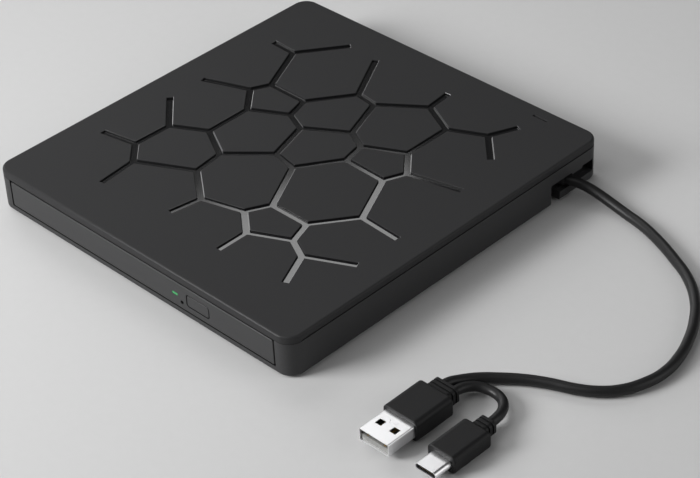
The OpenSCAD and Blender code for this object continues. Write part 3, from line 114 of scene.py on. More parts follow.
# Plain margins of the lid beside the net of grooves, and before and behind it
NET_SIDE, NET_END = 6.0 * MM, 8.5 * MM

# Tones that have no setting of their own
# Painted shade, put into colours where gaps and hollows lie in shadow
SHADE_BLACK = (0.0015, 0.0015, 0.0016)
INNER_BLACK = (0.014, 0.014, 0.015)
HUB_BLACK = (0.02, 0.02, 0.021)
TONGUE_GREY = (0.26, 0.26, 0.25)
COVER_GREY = (0.2, 0.2, 0.205)
CASTING_GREY = (0.16, 0.16, 0.165)
MAGNET_GREY = (0.5, 0.5, 0.51)
SOCKET_CREAM = (0.7, 0.69, 0.65)
COPPER = (0.72, 0.3, 0.13)
GILT = (0.83, 0.6, 0.26)
WIRES = {"red": (0.42, 0.02, 0.015), "white": (0.7, 0.7, 0.68), "green": (0.02, 0.2, 0.05),
         "black": (0.012, 0.012, 0.013)}

# Mean, dark and light tones of finishes with two tones
SMOKED = ((0.01, 0.01, 0.011), (0.004, 0.004, 0.005), (0.012, 0.012, 0.013))
BLUE_GLASS = ((0.04, 0.06, 0.13), (0.03, 0.04, 0.1), (0.06, 0.09, 0.17))
MILKY = ((0.6, 0.65, 0.58), (0.5, 0.56, 0.48), (0.66, 0.7, 0.62))
FOAM = ((0.05, 0.05, 0.053), (0.012, 0.012, 0.013), (0.06, 0.06, 0.064))
AMBER = ((0.42, 0.2, 0.035), (0.36, 0.17, 0.03), (0.62, 0.34, 0.09))


# Shader values and finishes

class Value:
    """One value in a shader. Arithmetic on it adds Math nodes."""

    def __init__(self, finish, socket):
        self.finish = finish
        self.socket = socket

    def _math(self, operation, first, second):
        return self.finish.node("ShaderNodeMath", {"operation": operation}, {0: first, 1: second})

    def __add__(self, other):
        return self._math("ADD", self, other)

    def __radd__(self, other):
        return self._math("ADD", other, self)

    def __sub__(self, other):
        return self._math("SUBTRACT", self, other)

    def __rsub__(self, other):
        return self._math("SUBTRACT", other, self)

    def __mul__(self, other):
        return self._math("MULTIPLY", self, other)

    def __rmul__(self, other):
        return self._math("MULTIPLY", other, self)

    def __mod__(self, other):
        return self._math("FLOORED_MODULO", self, other)

    def __lt__(self, other):
        return self._math("LESS_THAN", self, other)

    def __gt__(self, other):
        return self._math("GREATER_THAN", self, other)

    def __abs__(self):
        return self._math("ABSOLUTE", self, 0.0)


class Finish:
    """One material, made node by node round a Principled shader."""

    def __init__(self, name, colour, roughness, metallic=0.0, **constants):
        self.material = bpy.data.materials.new(name)
        self.material.use_nodes = True
        self.tree = self.material.node_tree
        self.shader = self.tree.nodes["Principled BSDF"]
        self.colour = colour
        self.set("Base Color", (*colour, 1.0))
        self.set("Roughness", roughness)
        self.set("Metallic", metallic)
        for key, value in constants.items():
            self.set(key.replace("_", " "), value)
        self._place = None

    def node(self, kind, settings=None, sockets=None, out=0):
        """Adds a node of one type: its settings first, then the values or links of its sockets."""
        made = self.tree.nodes.new(kind)
        for key, value in (settings or {}).items():
            setattr(made, key, value)
        for key, value in (sockets or {}).items():
            self._feed(made.inputs[key], value)
        return Value(self, made.outputs[out])

    def _feed(self, socket, value):
        if isinstance(value, Value):
            self.tree.links.new(value.socket, socket)
        else:
            socket.default_value = value

    def set(self, socket, value):
        """Sets or links one socket of the shader."""
        self._feed(self.shader.inputs[socket], value)

    def place(self):
        """The point on the piece, in Object coordinates."""
        if self._place is None:
            self._place = self.node("ShaderNodeTexCoord", out="Object")
        return self._place

    def axis(self, letter):
        """One coordinate of the point, in metres."""
        return self.node("ShaderNodeSeparateXYZ", None, {0: self.place()}, out=letter)

    def noise(self, scale, detail=2.0, roughness=0.5, stretch=None):
        """Soft noise from 0 to 1, scale in waves for each metre, finer along an axis if asked."""
        where = self.place()
        if stretch:
            where = self.node("ShaderNodeMapping", None, {"Vector": where, "Scale": stretch})
        return self.node("ShaderNodeTexNoise", {"noise_dimensions": "3D"}, {
            "Vector": where, "Scale": scale, "Detail": detail, "Roughness": roughness})

    def cells(self, scale):
        """Distance from the middle of a scatter of cells."""
        return self.node("ShaderNodeTexVoronoi", {"feature": "F1"},
                         {"Vector": self.place(), "Scale": scale}, out="Distance")

    def ramp(self, value, low, high, start=0.0, end=1.0):
        """A value moved smoothly from start to end as it goes from low to high."""
        return self.node("ShaderNodeMapRange", {"interpolation_type": "SMOOTHSTEP", "clamp": True},
                         {0: value, 1: low, 2: high, 3: start, 4: end})

    def blend(self, share, first, second):
        """A colour between two others."""
        return self.node("ShaderNodeMix", {"data_type": "RGBA"},
                         {0: share, 6: self._tone(first), 7: self._tone(second)}, out=2)

    @staticmethod
    def _tone(colour):
        return colour if isinstance(colour, Value) else (*colour, 1.0)

    def grain(self, speck, low, high):
        """The colour of the finish, darker and lighter with the specks of its grain."""
        return self.blend(self.ramp(speck, low, high), shade(self.colour, GRAIN_DARK),
                          shade(self.colour, GRAIN_LIGHT))

    def paint_shade(self, mask):
        """Paints shade into a linked colour: nearly black where a mask is 1, as shade deep in a
        gap.
        """
        now = Value(self, self.shader.inputs["Base Color"].links[0].from_socket)
        self.set("Base Color", self.blend(mask, now, SHADE_BLACK))

    def relief(self, height, strength, distance):
        """Gives the surface a fine relief from a height."""
        self.set("Normal", self.node("ShaderNodeBump", None, {
            "Strength": strength, "Distance": distance, "Height": height}))
        return self


def shade(colour, factor):
    """A colour made lighter or darker."""
    return tuple(min(1.0, c * factor) for c in colour)


def dress(finish, *names):
    """Gives CAD nodes one finish."""
    for name in names:
        slots = NODES[name].data.materials
        slots.clear()
        slots.append(finish.material)


def ease(width, *names):
    """Rounds the sharp edges of CAD nodes a little, as moulding and stamping do."""
    for name in names:
        weld = NODES[name].modifiers.new("weld", "WELD")
        weld.merge_threshold = TINY
        flats = NODES[name].modifiers.new("flats", "DECIMATE")
        flats.decimate_type = "DISSOLVE"
        flats.angle_limit = FLAT_ANGLE
        edges = NODES[name].modifiers.new("edges", "BEVEL")
        edges.width = width
        edges.segments = 2
        edges.limit_method = "ANGLE"
        edges.angle_limit = SHARP_ANGLE
        edges.use_clamp_overlap = False
        NODES[name].modifiers.new("normals", "WEIGHTED_NORMAL").keep_sharp = True


def moulded(name, colour, roughness, grain, depth, **constants):
    """Moulded plastic with a fine spark-eroded grain and a slight drift of tone."""
    finish = Finish(name, colour, roughness, **constants)
    speck = finish.noise(grain, 3.0, 0.6)
    drift = finish.noise(25.0)
    finish.set("Base Color", finish.grain(speck, 0.35, 0.65))
    finish.set("Roughness", roughness - 0.05 + speck * SPECK_ROUGH + drift * DRIFT_ROUGH)
    return finish.relief(speck, 0.35, depth)


def metal(name, colour, roughness, stretch):
    """Sheet or turned metal with fine drawn lines and a little handling haze."""
    finish = Finish(name, colour, roughness, 1.0)
    lines = finish.noise(900.0, 3.0, 0.6, stretch)
    haze = finish.noise(60.0, 3.0)
    finish.set("Base Color", finish.blend(haze, shade(colour, 0.92), shade(colour, 1.06)))
    finish.set("Roughness", roughness - 0.06 + lines * 0.07 + haze * 0.06)
    return finish.relief(lines, 0.12, 0.02 * MM)


def clear(name, tones, roughness, scale, **constants):
    """Smooth clear or milky plastic and glass, which drifts between two tones."""
    mean, dark, light = tones
    finish = Finish(name, mean, roughness, **constants)
    finish.set("Base Color", finish.blend(finish.noise(scale), dark, light))
    return finish


# Modelling

def start(kind, **settings):
    """Adds one primitive with nothing else selected, its place and size put into its mesh."""
    bpy.ops.object.select_all(action="DESELECT")
    getattr(bpy.ops.mesh, kind)(**settings)
    bpy.ops.object.transform_apply(location=True, rotation=True, scale=True)
    return bpy.context.object


def cuboid(low, high):
    """A cuboid between two corners in metres."""
    low, high = Vector(low), Vector(high)
    return start("primitive_cube_add", size=1.0, location=(low + high) / 2, scale=high - low)


def pick(piece, kind, test):
    """Selects the faces or edges whose middle passes a test, in edit mode."""
    bpy.ops.mesh.select_mode(type=kind)
    bpy.ops.mesh.select_all(action="DESELECT")
    shape = bmesh.from_edit_mesh(piece.data)
    for item in {"FACE": shape.faces, "EDGE": shape.edges}[kind]:
        points = [corner.co for corner in item.verts]
        if test(sum(points, Vector()) / len(points)):
            item.select_set(True)
    shape.select_flush_mode()
    bmesh.update_edit_mesh(piece.data)


def only(*pieces):
    """Selects these pieces alone, the first one active."""
    bpy.ops.object.select_all(action="DESELECT")
    for piece in pieces:
        piece.select_set(True)
    bpy.context.view_layer.objects.active = pieces[0]


def copies(piece, moves):
    """Copies a piece by each move, each copy with its own mesh, and joins them all."""
    made = [piece]
    for move in moves:
        only(piece)
        bpy.ops.object.duplicate(linked=False)
        bpy.ops.transform.translate(value=move)
        bpy.ops.object.transform_apply(location=True, rotation=False, scale=False)
        made.append(bpy.context.object)
    only(*made)
    bpy.ops.object.join()
    return piece


def apply_all(piece):
    """Applies the modifiers of a piece in order."""
    only(piece)
    for modifier in list(piece.modifiers):
        bpy.ops.object.modifier_apply(modifier=modifier.name)


def settle(piece, name, finish, slot, *nodes):
    """Names a new piece, smooths it, gives it its finish, and hides the nodes that it stands for.
    """
    only(piece)
    bpy.ops.object.shade_smooth_by_angle(angle=SMOOTH_ANGLE)
    piece.name = piece.data.name = name
    if finish:
        piece.data.materials.clear()
        piece.data.materials.append(finish.material)
    if nodes:
        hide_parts(*nodes)
    return piece


# Settings that a user may change

def tone_setting(name, description, colour):
    """A colour setting."""
    return FloatVectorProperty(name=name, description=description, default=colour, size=3, min=0,
                               max=1, subtype="COLOR")


def power_setting(name, description, watts):
    """A lamp's power."""
    return FloatProperty(name=name, description=description, default=watts, unit="POWER")


class DriveSizes(bpy.types.PropertyGroup):
    """Sizes of the pieces that are made here."""

    cord: FloatProperty(name="Cord", description="Diameter of the cord", default=0.0036,
                        unit="LENGTH")
    tether: FloatProperty(name="Tether", description="Diameter of the tether between the plugs",
                          default=0.0033, unit="LENGTH")
    lens: FloatProperty(name="Camera lens", description="Focal length of the camera in millimetres",
                        default=112.836)


class DriveColours(bpy.types.PropertyGroup):
    """Colours of the finishes."""

    lid: tone_setting("Lid", "Grained plastic of the lid", (0.0298, 0.0298, 0.0307))
    case: tone_setting("Case", "Grained plastic of the case", (0.036, 0.036, 0.037))
    front: tone_setting("Front", "Plastic of the front panel and the button",
                        (0.0275, 0.0275, 0.0285))
    groove: tone_setting("Grooves", "Smooth plastic in the lid's grooves", (0.005, 0.005, 0.0055))
    cord: tone_setting("Cord", "Jacket of the cord", (0.012, 0.012, 0.0125))
    grip: tone_setting("Plug grips", "Plastic of the plugs", (0.009, 0.009, 0.0095))
    tray: tone_setting("Tray", "Plastic of the disc tray", (0.03, 0.03, 0.032))
    rubber: tone_setting("Rubber", "Feet, pads and bushes", (0.016, 0.016, 0.017))
    steel: tone_setting("Sheet steel", "Zinc plated sheet of the drive", (0.6, 0.61, 0.62))
    bright: tone_setting("Bright steel", "Rods and screws", (0.78, 0.78, 0.79))
    shell: tone_setting("Plug shells", "Nickel plated shells of the plugs", (0.89, 0.89, 0.9))
    board: tone_setting("Boards", "Solder mask of the boards", (0.02, 0.11, 0.045))
    light: tone_setting("Light", "Status light", (0.12, 0.95, 0.3))


class StageSettings(bpy.types.PropertyGroup):
    """Floor and lamps."""

    floor: tone_setting("Floor", "Pale floor", (0.6, 0.6, 0.6))
    world: FloatProperty(name="World", description="Brightness of the plain surroundings",
                         default=0.06)
    key: power_setting("Key lamp", "Soft lamp at the front left", 2.35)
    rim: power_setting("Rim lamp", "Soft lamp behind the right side", 0.95)
    top: power_setting("Top lamp", "Soft lamp above the drive", 1.7)
    strip: power_setting("Strip lamp", "Low strip at the left that edges reflect", 0.6)
    panel: power_setting("Back panel", "Soft panel that the lid's grooves reflect", 2.57)


def sizes():
    """The sizes as they are set."""
    return bpy.context.scene.drive_sizes


def colour(name):
    """One colour as it is set."""
    return tuple(getattr(bpy.context.scene.drive_colours, name))


# Stage

def lamp(name, place, target, size, power, beam):
    """A soft lamp at a place, turned to a target, its beam narrowed as by a grid."""
    bpy.ops.object.select_all(action="DESELECT")
    bpy.ops.object.light_add(type="AREA", location=place)
    made = bpy.context.object
    made.name = name
    made.data.name = name
    made.data.shape = "RECTANGLE"
    made.data.size, made.data.size_y = size
    made.data.energy = power
    made.data.spread = math.radians(beam)
    aim = Vector(target) - Vector(place)
    made.rotation_euler = aim.to_track_quat("-Z", "Y").to_euler()


class DRIVE_OT_stage(bpy.types.Operator):
    """Camera at the photograph's angle, pale floor, plain surroundings and soft lamps"""

    bl_idname = "drive.stage"
    bl_label = "Stage"

    def execute(self, context):
        scene = context.scene
        settings = scene.drive_stage
        bpy.ops.object.select_all(action="DESELECT")
        bpy.ops.object.camera_add(location=CAMERA_PLACE)
        camera = context.object
        camera.name = "camera"
        camera.rotation_mode = "QUATERNION"
        camera.rotation_quaternion = Quaternion(CAMERA_TURN)
        camera.data.sensor_width = SENSOR_WIDTH
        camera.data.lens = sizes().lens
        camera.data.clip_start = 10 * MM
        scene.camera = camera

        floor = start("primitive_plane_add", size=FLOOR_SIZE, location=(0, 0, FLOOR_LEVEL))
        floor.name = "floor"
        paper = Finish("floor_paper", tuple(settings.floor), 0.7)
        paper.set("Base Color", paper.blend(paper.noise(300.0), shade(settings.floor, 0.985),
                                            shade(settings.floor, 1.015)))
        floor.data.materials.append(paper.material)

        world = bpy.data.worlds.new("studio")
        scene.world = world
        world.use_nodes = True
        back = world.node_tree.nodes["Background"]
        back.inputs["Color"].default_value = (1.0, 1.0, 1.0, 1.0)
        back.inputs["Strength"].default_value = settings.world

        for name, setting, place, target, size, beam in LAMPS:
            lamp(name, place, target, size, getattr(settings, setting), beam)
        scene.view_settings.view_transform = "Standard"
        return {"FINISHED"}


# Plugs

def plug_contacts(gold):
    """Four flat contacts with bent noses on the tongue of the first plug."""
    low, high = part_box("plug_a_tongue")
    middle, top, nose = (low.x + high.x) / 2, high.z, low.y + 0.9 * MM
    wide, thick, tip = 1.0 * MM, 0.12 * MM, 0.5 * MM
    outer, inner, set_back = 3.5 * MM, 1.0 * MM, 1.0 * MM
    strip = cuboid((middle - wide / 2, nose, top), (middle + wide / 2, high.y, top + thick))
    bpy.ops.object.mode_set(mode="EDIT")
    pick(strip, "FACE", lambda m: m.y < nose + TINY)
    bpy.ops.mesh.extrude_region_move(TRANSFORM_OT_translate={"value": (0, -tip, -0.5 * thick)})
    bpy.ops.transform.resize(value=(0.7, 1, 0.4), center_override=(middle, nose - tip, top))
    pick(strip, "EDGE", lambda m: m.z > top + 0.7 * thick and abs(m.x - middle) > 0.3 * wide)
    bpy.ops.mesh.bevel(offset=0.04 * MM, segments=2, affect="EDGES")
    bpy.ops.object.mode_set(mode="OBJECT")
    bpy.ops.transform.translate(value=(-outer, 0, 0))
    bpy.ops.object.transform_apply(location=True, rotation=False, scale=False)
    strip = copies(strip, ((outer - inner, set_back, 0), (outer + inner, set_back, 0),
                           (2 * outer, 0, 0)))
    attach(settle(strip, "plug_a_contacts", gold, "copper"), "base")


def small_contacts(gold):
    """Two rows of fine spring contacts in the mouth of the second plug."""
    low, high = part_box("plug_c_insert")
    middle, nose = (low.x + high.x) / 2, low.y + 0.7 * MM
    count, pitch, gap = 12, 0.5 * MM, 0.8 * MM
    wide, thick, deep, tip = 0.26 * MM, 0.12 * MM, 3.5 * MM, 0.3 * MM
    first, level = middle - (count - 1) / 2 * pitch, (low.z + high.z) / 2 - gap / 2
    spring = cuboid((first - wide / 2, nose, level), (first + wide / 2, nose + deep, level + thick))
    bpy.ops.object.mode_set(mode="EDIT")
    pick(spring, "FACE", lambda m: m.y < nose + TINY)
    bpy.ops.mesh.extrude_region_move(TRANSFORM_OT_translate={"value": (0, -tip, -0.2 * thick)})
    bpy.ops.transform.resize(value=(0.7, 1, 0.5), center_override=(first, nose, level))
    bpy.ops.object.mode_set(mode="OBJECT")
    row = spring.modifiers.new("row", "ARRAY")
    row.count = count
    row.use_relative_offset = False
    row.use_constant_offset = True
    row.constant_offset_displace = (pitch, 0, 0)
    apply_all(spring)
    spring = copies(spring, ((0, 0, gap - thick),))
    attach(settle(spring, "plug_c_contacts", gold, "copper"), "base")


class DRIVE_OT_plugs(bpy.types.Operator):
    """Finishes of both plugs, and the contacts in their mouths"""

    bl_idname = "drive.plugs"
    bl_label = "Plugs"

    def execute(self, context):
        grip = moulded("plug_grip", colour("grip"), 0.5, 2200.0, 0.02 * MM,
                       Specular_IOR_Level=0.25)
        dress(grip, "plug_a_grip", "plug_c_grip", "plug_c_insert")
        shell = metal("plug_steel", colour("shell"), 0.34, (6.0, 1.0, 6.0))
        dress(shell, "plug_a_shell", "plug_c_shell")
        ease(0.05 * MM, "plug_a_shell", "plug_c_shell")
        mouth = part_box("plug_a_tongue")[0].y
        tongue = moulded("tongue_plastic", TONGUE_GREY, 0.45, 1200.0, 0.01 * MM)
        # Painted shade on the tongue, darker the further it lies inside the plug's mouth
        tongue.paint_shade(tongue.ramp(tongue.axis("Y"), mouth + 0.2 * MM, mouth + 1.5 * MM, 0.0, 0.9))
        dress(tongue, "plug_a_tongue")
        gold = metal("gold_contacts", GILT, 0.3, (6.0, 1.0, 6.0))
        plug_contacts(gold)
        small_contacts(gold)
        return {"FINISHED"}


# Cord and tether

def cord_curve(name, route, diameter):
    """A round cord on one smooth open curve through its route, in metres."""
    curve = bpy.data.curves.new(name, "CURVE")
    curve.dimensions = "3D"
    curve.bevel_depth = diameter / 2
    curve.bevel_resolution = 6
    curve.resolution_u = 8
    curve.use_fill_caps = True
    line = curve.splines.new("BEZIER")
    line.bezier_points.add(len(route) - 1)
    for point, place in zip(line.bezier_points, route):
        point.co = place
        point.handle_left_type = point.handle_right_type = "AUTO"
    piece = bpy.data.objects.new(name, curve)
    bpy.context.scene.collection.objects.link(piece)
    return piece


def from_exit(first, route):
    """A route in metres, from steps in millimetres off its start and heights above the floor."""
    return [(first.x + dx * MM, first.y + dy * MM, z * MM) for dx, dy, z in route]


class DRIVE_OT_cords(bpy.types.Operator):
    """Cord from the strain relief to the first plug, and the tether to the second"""

    bl_idname = "drive.cords"
    bl_label = "Cord and tether"

    def execute(self, context):
        jacket = moulded("cord_jacket", colour("cord"), 0.42, 1800.0, 0.02 * MM,
                         Specular_IOR_Level=0.3)
        cord = cord_curve("cord", from_exit(CORD_EXIT, CORD_ROUTE), sizes().cord)
        tether = cord_curve("tether", from_exit(TETHER_EXIT, TETHER_ROUTE), sizes().tether)
        for piece, node in ((cord, "usb_cord"), (tether, "tether_cord")):
            piece.data.materials.append(jacket.material)
            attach(piece, "base")
            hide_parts(node)
        return {"FINISHED"}


# Case and front

class DRIVE_OT_case(bpy.types.Operator):
    """Finishes of the lid and its grooves, the bottom case, all rubber and bright steel"""

    bl_idname = "drive.case"
    bl_label = "Case"

    def execute(self, context):
        self.lid()
        self.bottom()
        rubber = moulded("black_rubber", colour("rubber"), 0.8, 2500.0, 0.05 * MM)
        dress(rubber, "rubber_feet", "strain_relief", "damper_bushes", "turntable_pad")
        bright = metal("bright_steel", colour("bright"), 0.26, (1.0, 1.0, 6.0))
        dress(bright, "case_screws", "main_guide_rod", "side_guide_rod", "lead_screw", "latch_stud")
        dress(clear("lid_light", SMOKED, 0.25, 400.0), "lid_light_pipe")
        return {"FINISHED"}

    def lid(self):
        """The grained lid, with smooth grooves whose floors and rims shine."""
        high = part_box("top_cover")[1]
        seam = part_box("bottom_case")[1].z
        lid = Finish("lid_plastic", colour("lid"), 0.6, Coat_Roughness=0.08, Coat_IOR=1.72,
                     Specular_IOR_Level=0.08)
        speck = lid.noise(CASE_GRAIN, 2.0, 0.6)
        drift = lid.noise(30.0)
        height = lid.axis("Z") - high.z
        net = (abs(lid.axis("X")) < high.x - NET_SIDE) * (abs(lid.axis("Y")) < high.y - NET_END)
        wall_from, wall_full, floor_from, floor_to = 0.2 * MM, 0.3 * MM, 0.6 * MM, 1.2 * MM
        sunk = net * lid.ramp(height, -wall_full, -wall_from, 1.0, 0.0) * (height > -floor_to)
        bottom = sunk * (height < -floor_from)
        lip = net * (height < -0.01 * MM) * (height > -wall_from)
        flank = (1 - net) * (height < -0.02 * MM)
        lid.set("Base Color", lid.blend(sunk, lid.grain(speck, 0.32, 0.68), colour("groove")))
        lid.set("Roughness", 0.54 + speck * SPECK_ROUGH + drift * DRIFT_ROUGH - bottom * 0.46)
        lid.set("Coat Weight", bottom + lip + flank * 0.09)
        lid.relief(speck * (1 - sunk), 0.2, 0.02 * MM)
        # Painted shade on the lid's lower edge, just above the seam with the case, standing in for
        # the gap's shadow
        lid.paint_shade(lid.ramp(lid.axis("Z"), seam + 0.15 * MM, seam + 0.25 * MM, 1.0, 0.0))
        dress(lid, "top_cover")
        ease(0.15 * MM, "top_cover")

    def bottom(self):
        """The grained bottom case, with painted shade in the gap round the front panel."""
        low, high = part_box("top_cover")
        case = moulded("case_plastic", colour("case"), 0.5, CASE_GRAIN, 0.02 * MM,
                       Specular_IOR_Level=0.25)
        x, y = case.axis("X"), case.axis("Y")
        skin, deep, side = 0.02 * MM, 8 * MM, 6.6 * MM
        # Painted shade on the case's surfaces behind its front face, inside the opening round the
        # front panel
        case.paint_shade((y > low.y + skin) * (y < low.y + deep) * (abs(x) < high.x - side))
        dress(case, "bottom_case")
        ease(0.12 * MM, "bottom_case")


class DRIVE_OT_front(bpy.types.Operator):
    """Finishes of the front panel, the eject button and the status light"""

    bl_idname = "drive.front"
    bl_label = "Front"

    def execute(self, context):
        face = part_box("front_bezel")[0].y
        front = moulded("front_plastic", colour("front"), 0.42, CASE_GRAIN, 0.01 * MM,
                        Specular_IOR_Level=0.4)
        x, y, z = front.axis("X"), front.axis("Y"), front.axis("Z")
        low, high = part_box("eject_button")
        # Painted shade on surfaces behind the front face, in the gaps round the panel and the
        # button: full near the button, three quarters elsewhere
        edge, panel_shade = 0.6 * MM, 0.75
        near = (x > low.x - edge) * (x < high.x + edge) * (z > low.z - edge) * (z < high.z + edge)
        gap_shade = front.ramp(y, face + 0.005 * MM, face + 0.06 * MM)
        front.paint_shade(gap_shade * (panel_shade + near * (1 - panel_shade)))
        dress(front, "front_bezel", "eject_button")
        ease(0.1 * MM, "front_bezel", "eject_button")
        glow = Finish("status_glow", shade(colour("light"), 0.2), 0.3, Emission_Strength=0.2)
        glow.set("Emission Color", glow.blend(glow.noise(900.0), shade(colour("light"), 0.7),
                                              colour("light")))
        dress(glow, "status_light_pipe")
        return {"FINISHED"}


# Inner works

def board_mask(name, tone):
    """Solder mask over a net of copper tracks that shows through as a lighter tone."""
    finish = Finish(name, tone, 0.35)
    along = finish.node("ShaderNodeMapping", None, {
        "Vector": finish.place(), "Scale": (1, 1, 0)})
    across = finish.node("ShaderNodeMapping", None, {
        "Vector": finish.place(), "Rotation": (0, 0, math.pi / 2), "Scale": (1, 1, 0)})
    bricks = {"Scale": 260.0, "Mortar Size": 0.045, "Mortar Smooth": 0.15, "Bias": 0.0,
              "Brick Width": 1.9, "Row Height": 0.32}
    rows = finish.node("ShaderNodeTexBrick", {"offset": 0.37}, {"Vector": along, **bricks},
                       out="Fac")
    columns = finish.node("ShaderNodeTexBrick", {"offset": 0.61}, {"Vector": across, **bricks},
                          out="Fac")
    half = finish.noise(55.0, 1.0) > 0.5
    track = rows * half + columns * (1 - half)
    finish.set("Base Color", finish.blend(track, tone, shade(tone, 2.2)))
    finish.set("Roughness", 0.38 - track * 0.08 + finish.noise(800.0) * 0.06)
    return finish.relief(track, 0.3, 0.03 * MM)


class DRIVE_OT_chassis(bpy.types.Operator):
    """Finishes of the drive's sheet metal and latch, and the foam strips under the lid"""

    bl_idname = "drive.chassis"
    bl_label = "Chassis"

    def execute(self, context):
        steel = colour("steel")
        sheet = metal("plated_sheet", steel, 0.4, (1.0, 8.0, 1.0))
        flake = sheet.ramp(sheet.cells(260.0), 0.1, 0.75)
        sheet.set("Base Color", sheet.blend(flake, shade(steel, 1.05), shade(steel, 0.82)))
        dress(sheet, "drive_chassis", "drive_top_plate", "ejector_unit", "latch_solenoid")
        ease(0.06 * MM, "drive_chassis")
        black = moulded("black_plastic", INNER_BLACK, 0.45, 1600.0, 0.02 * MM)
        dress(black, "left_rail_guide", "right_rail_guide", "latch_lever", "eject_switch",
              "drive_connector", "control_chips", "bridge_chips")
        self.foam()
        return {"FINISHED"}

    def foam(self):
        """Three strips of foam with crowned sides, under the lid."""
        low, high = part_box("foam_pads")
        deep, swell_x, swell_y = 8 * MM, 0.004, 0.05
        pad = cuboid(low, (high.x, low.y + deep, high.z))
        middle = Vector(((low.x + high.x) / 2, low.y + deep / 2, (low.z + high.z) / 2))
        bpy.ops.object.mode_set(mode="EDIT")
        for level in (0.25, 0.5, 0.75):
            bpy.ops.mesh.select_all(action="SELECT")
            bpy.ops.mesh.bisect(plane_co=(0, 0, low.z + level * (high.z - low.z)),
                                plane_no=(0, 0, 1))
            bulge = 1 - (2 * level - 1) ** 2
            bpy.ops.transform.resize(value=(1 + swell_x * bulge, 1 + swell_y * bulge, 1),
                                     center_override=middle)
        bpy.ops.mesh.select_all(action="SELECT")
        bpy.ops.mesh.bevel(offset=0.2 * MM, segments=2, affect="EDGES")
        bpy.ops.object.mode_set(mode="OBJECT")
        step = (high.y - low.y - deep) / 2
        pad = copies(pad, ((0, step, 0), (0, 2 * step, 0)))
        mean, dark, light = FOAM
        foam = moulded("foam", mean, 0.95, 900.0, 0.2 * MM)
        pores = foam.cells(1500.0)
        foam.set("Base Color", foam.blend(foam.ramp(pores, 0.15, 0.6), dark, light))
        foam.relief(pores, 0.8, 0.3 * MM)
        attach(settle(pad, "foam_strips", foam, "foam", "foam_pads"), "base")


class DRIVE_OT_tray(bpy.types.Operator):
    """Finishes of the disc tray and its rails, and the flat folded ribbon"""

    bl_idname = "drive.tray"
    bl_label = "Tray"

    def execute(self, context):
        tray = moulded("tray_plastic", colour("tray"), 0.5, 1300.0, 0.03 * MM,
                       Specular_IOR_Level=0.3)
        dress(tray, "disc_tray")
        ease(0.08 * MM, "disc_tray")
        rail = metal("rail_steel", colour("steel"), 0.32, (8.0, 1.0, 8.0))
        dress(rail, "left_rail", "right_rail")
        self.ribbon()
        return {"FINISHED"}

    def ribbon(self):
        """The ribbon's lower leg, its fold and its upper leg, one strip under another."""
        low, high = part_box("tray_ribbon")
        thick, upper_leg, fold_steps = 0.2 * MM, 14 * MM, 24
        radius = (high.z - low.z) / 2
        turn = Vector((low.x, low.y + radius, low.z + radius))
        wide = high.x - low.x
        middle = (low.x + wide / 2, (turn.y + high.y) / 2, low.z + thick / 2)
        strip = start("primitive_plane_add", size=1.0, location=middle)
        bpy.ops.object.mode_set(mode="EDIT")
        bpy.ops.transform.resize(value=(wide, high.y - turn.y, 1), center_override=middle)
        pick(strip, "EDGE", lambda m: m.y < turn.y + TINY)
        bpy.ops.mesh.spin(steps=fold_steps, angle=math.pi, center=turn, axis=(1, 0, 0))
        bpy.ops.mesh.extrude_region_move(TRANSFORM_OT_translate={"value": (0, upper_leg, 0)})
        bpy.ops.mesh.select_all(action="SELECT")
        bpy.ops.mesh.remove_doubles(threshold=TINY)
        bpy.ops.mesh.normals_make_consistent(inside=False)
        bpy.ops.object.mode_set(mode="OBJECT")
        wall = strip.modifiers.new("thickness", "SOLIDIFY")
        wall.thickness = thick
        wall.offset = 0.0
        apply_all(strip)
        mean, dark, light = AMBER
        film = Finish("ribbon_film", mean, 0.3)
        tracks_a_metre = 1000.0
        across = (film.axis("X") * tracks_a_metre) % 1.0
        track = film.ramp(abs(across - 0.5), 0.2, 0.26, 1.0, 0.0)
        film.set("Base Color", film.blend(track, dark, light))
        film.set("Roughness", 0.34 - track * 0.1 + film.noise(500.0) * 0.05)
        film.relief(track, 0.3, 0.03 * MM)
        settle(strip, "tray_flex", film, "ribbon", "tray_ribbon")
        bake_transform(strip)


class DRIVE_OT_motor(bpy.types.Operator):
    """Finishes of the disc motor, turntable and claws"""

    bl_idname = "drive.motor"
    bl_label = "Disc motor"

    def execute(self, context):
        hub = moulded("hub_plastic", HUB_BLACK, 0.38, 1500.0, 0.02 * MM)
        dress(hub, "turntable", "disc_claw_1", "disc_claw_2", "disc_claw_3")
        ease(0.1 * MM, "turntable")
        winding = metal("copper_windings", COPPER, 0.34, (1.0, 1.0, 6.0))
        turns = winding.node("ShaderNodeTexWave", {"wave_type": "RINGS", "rings_direction": "Z"}, {
            "Vector": winding.place(), "Scale": 900.0, "Distortion": 0.6})
        winding.relief(turns, 0.5, 0.1 * MM)
        dress(winding, "spindle_stator")
        magnet = metal("magnet_plate", MAGNET_GREY, 0.35, (1.0, 1.0, 6.0))
        dress(magnet, "rotor_magnet")
        return {"FINISHED"}


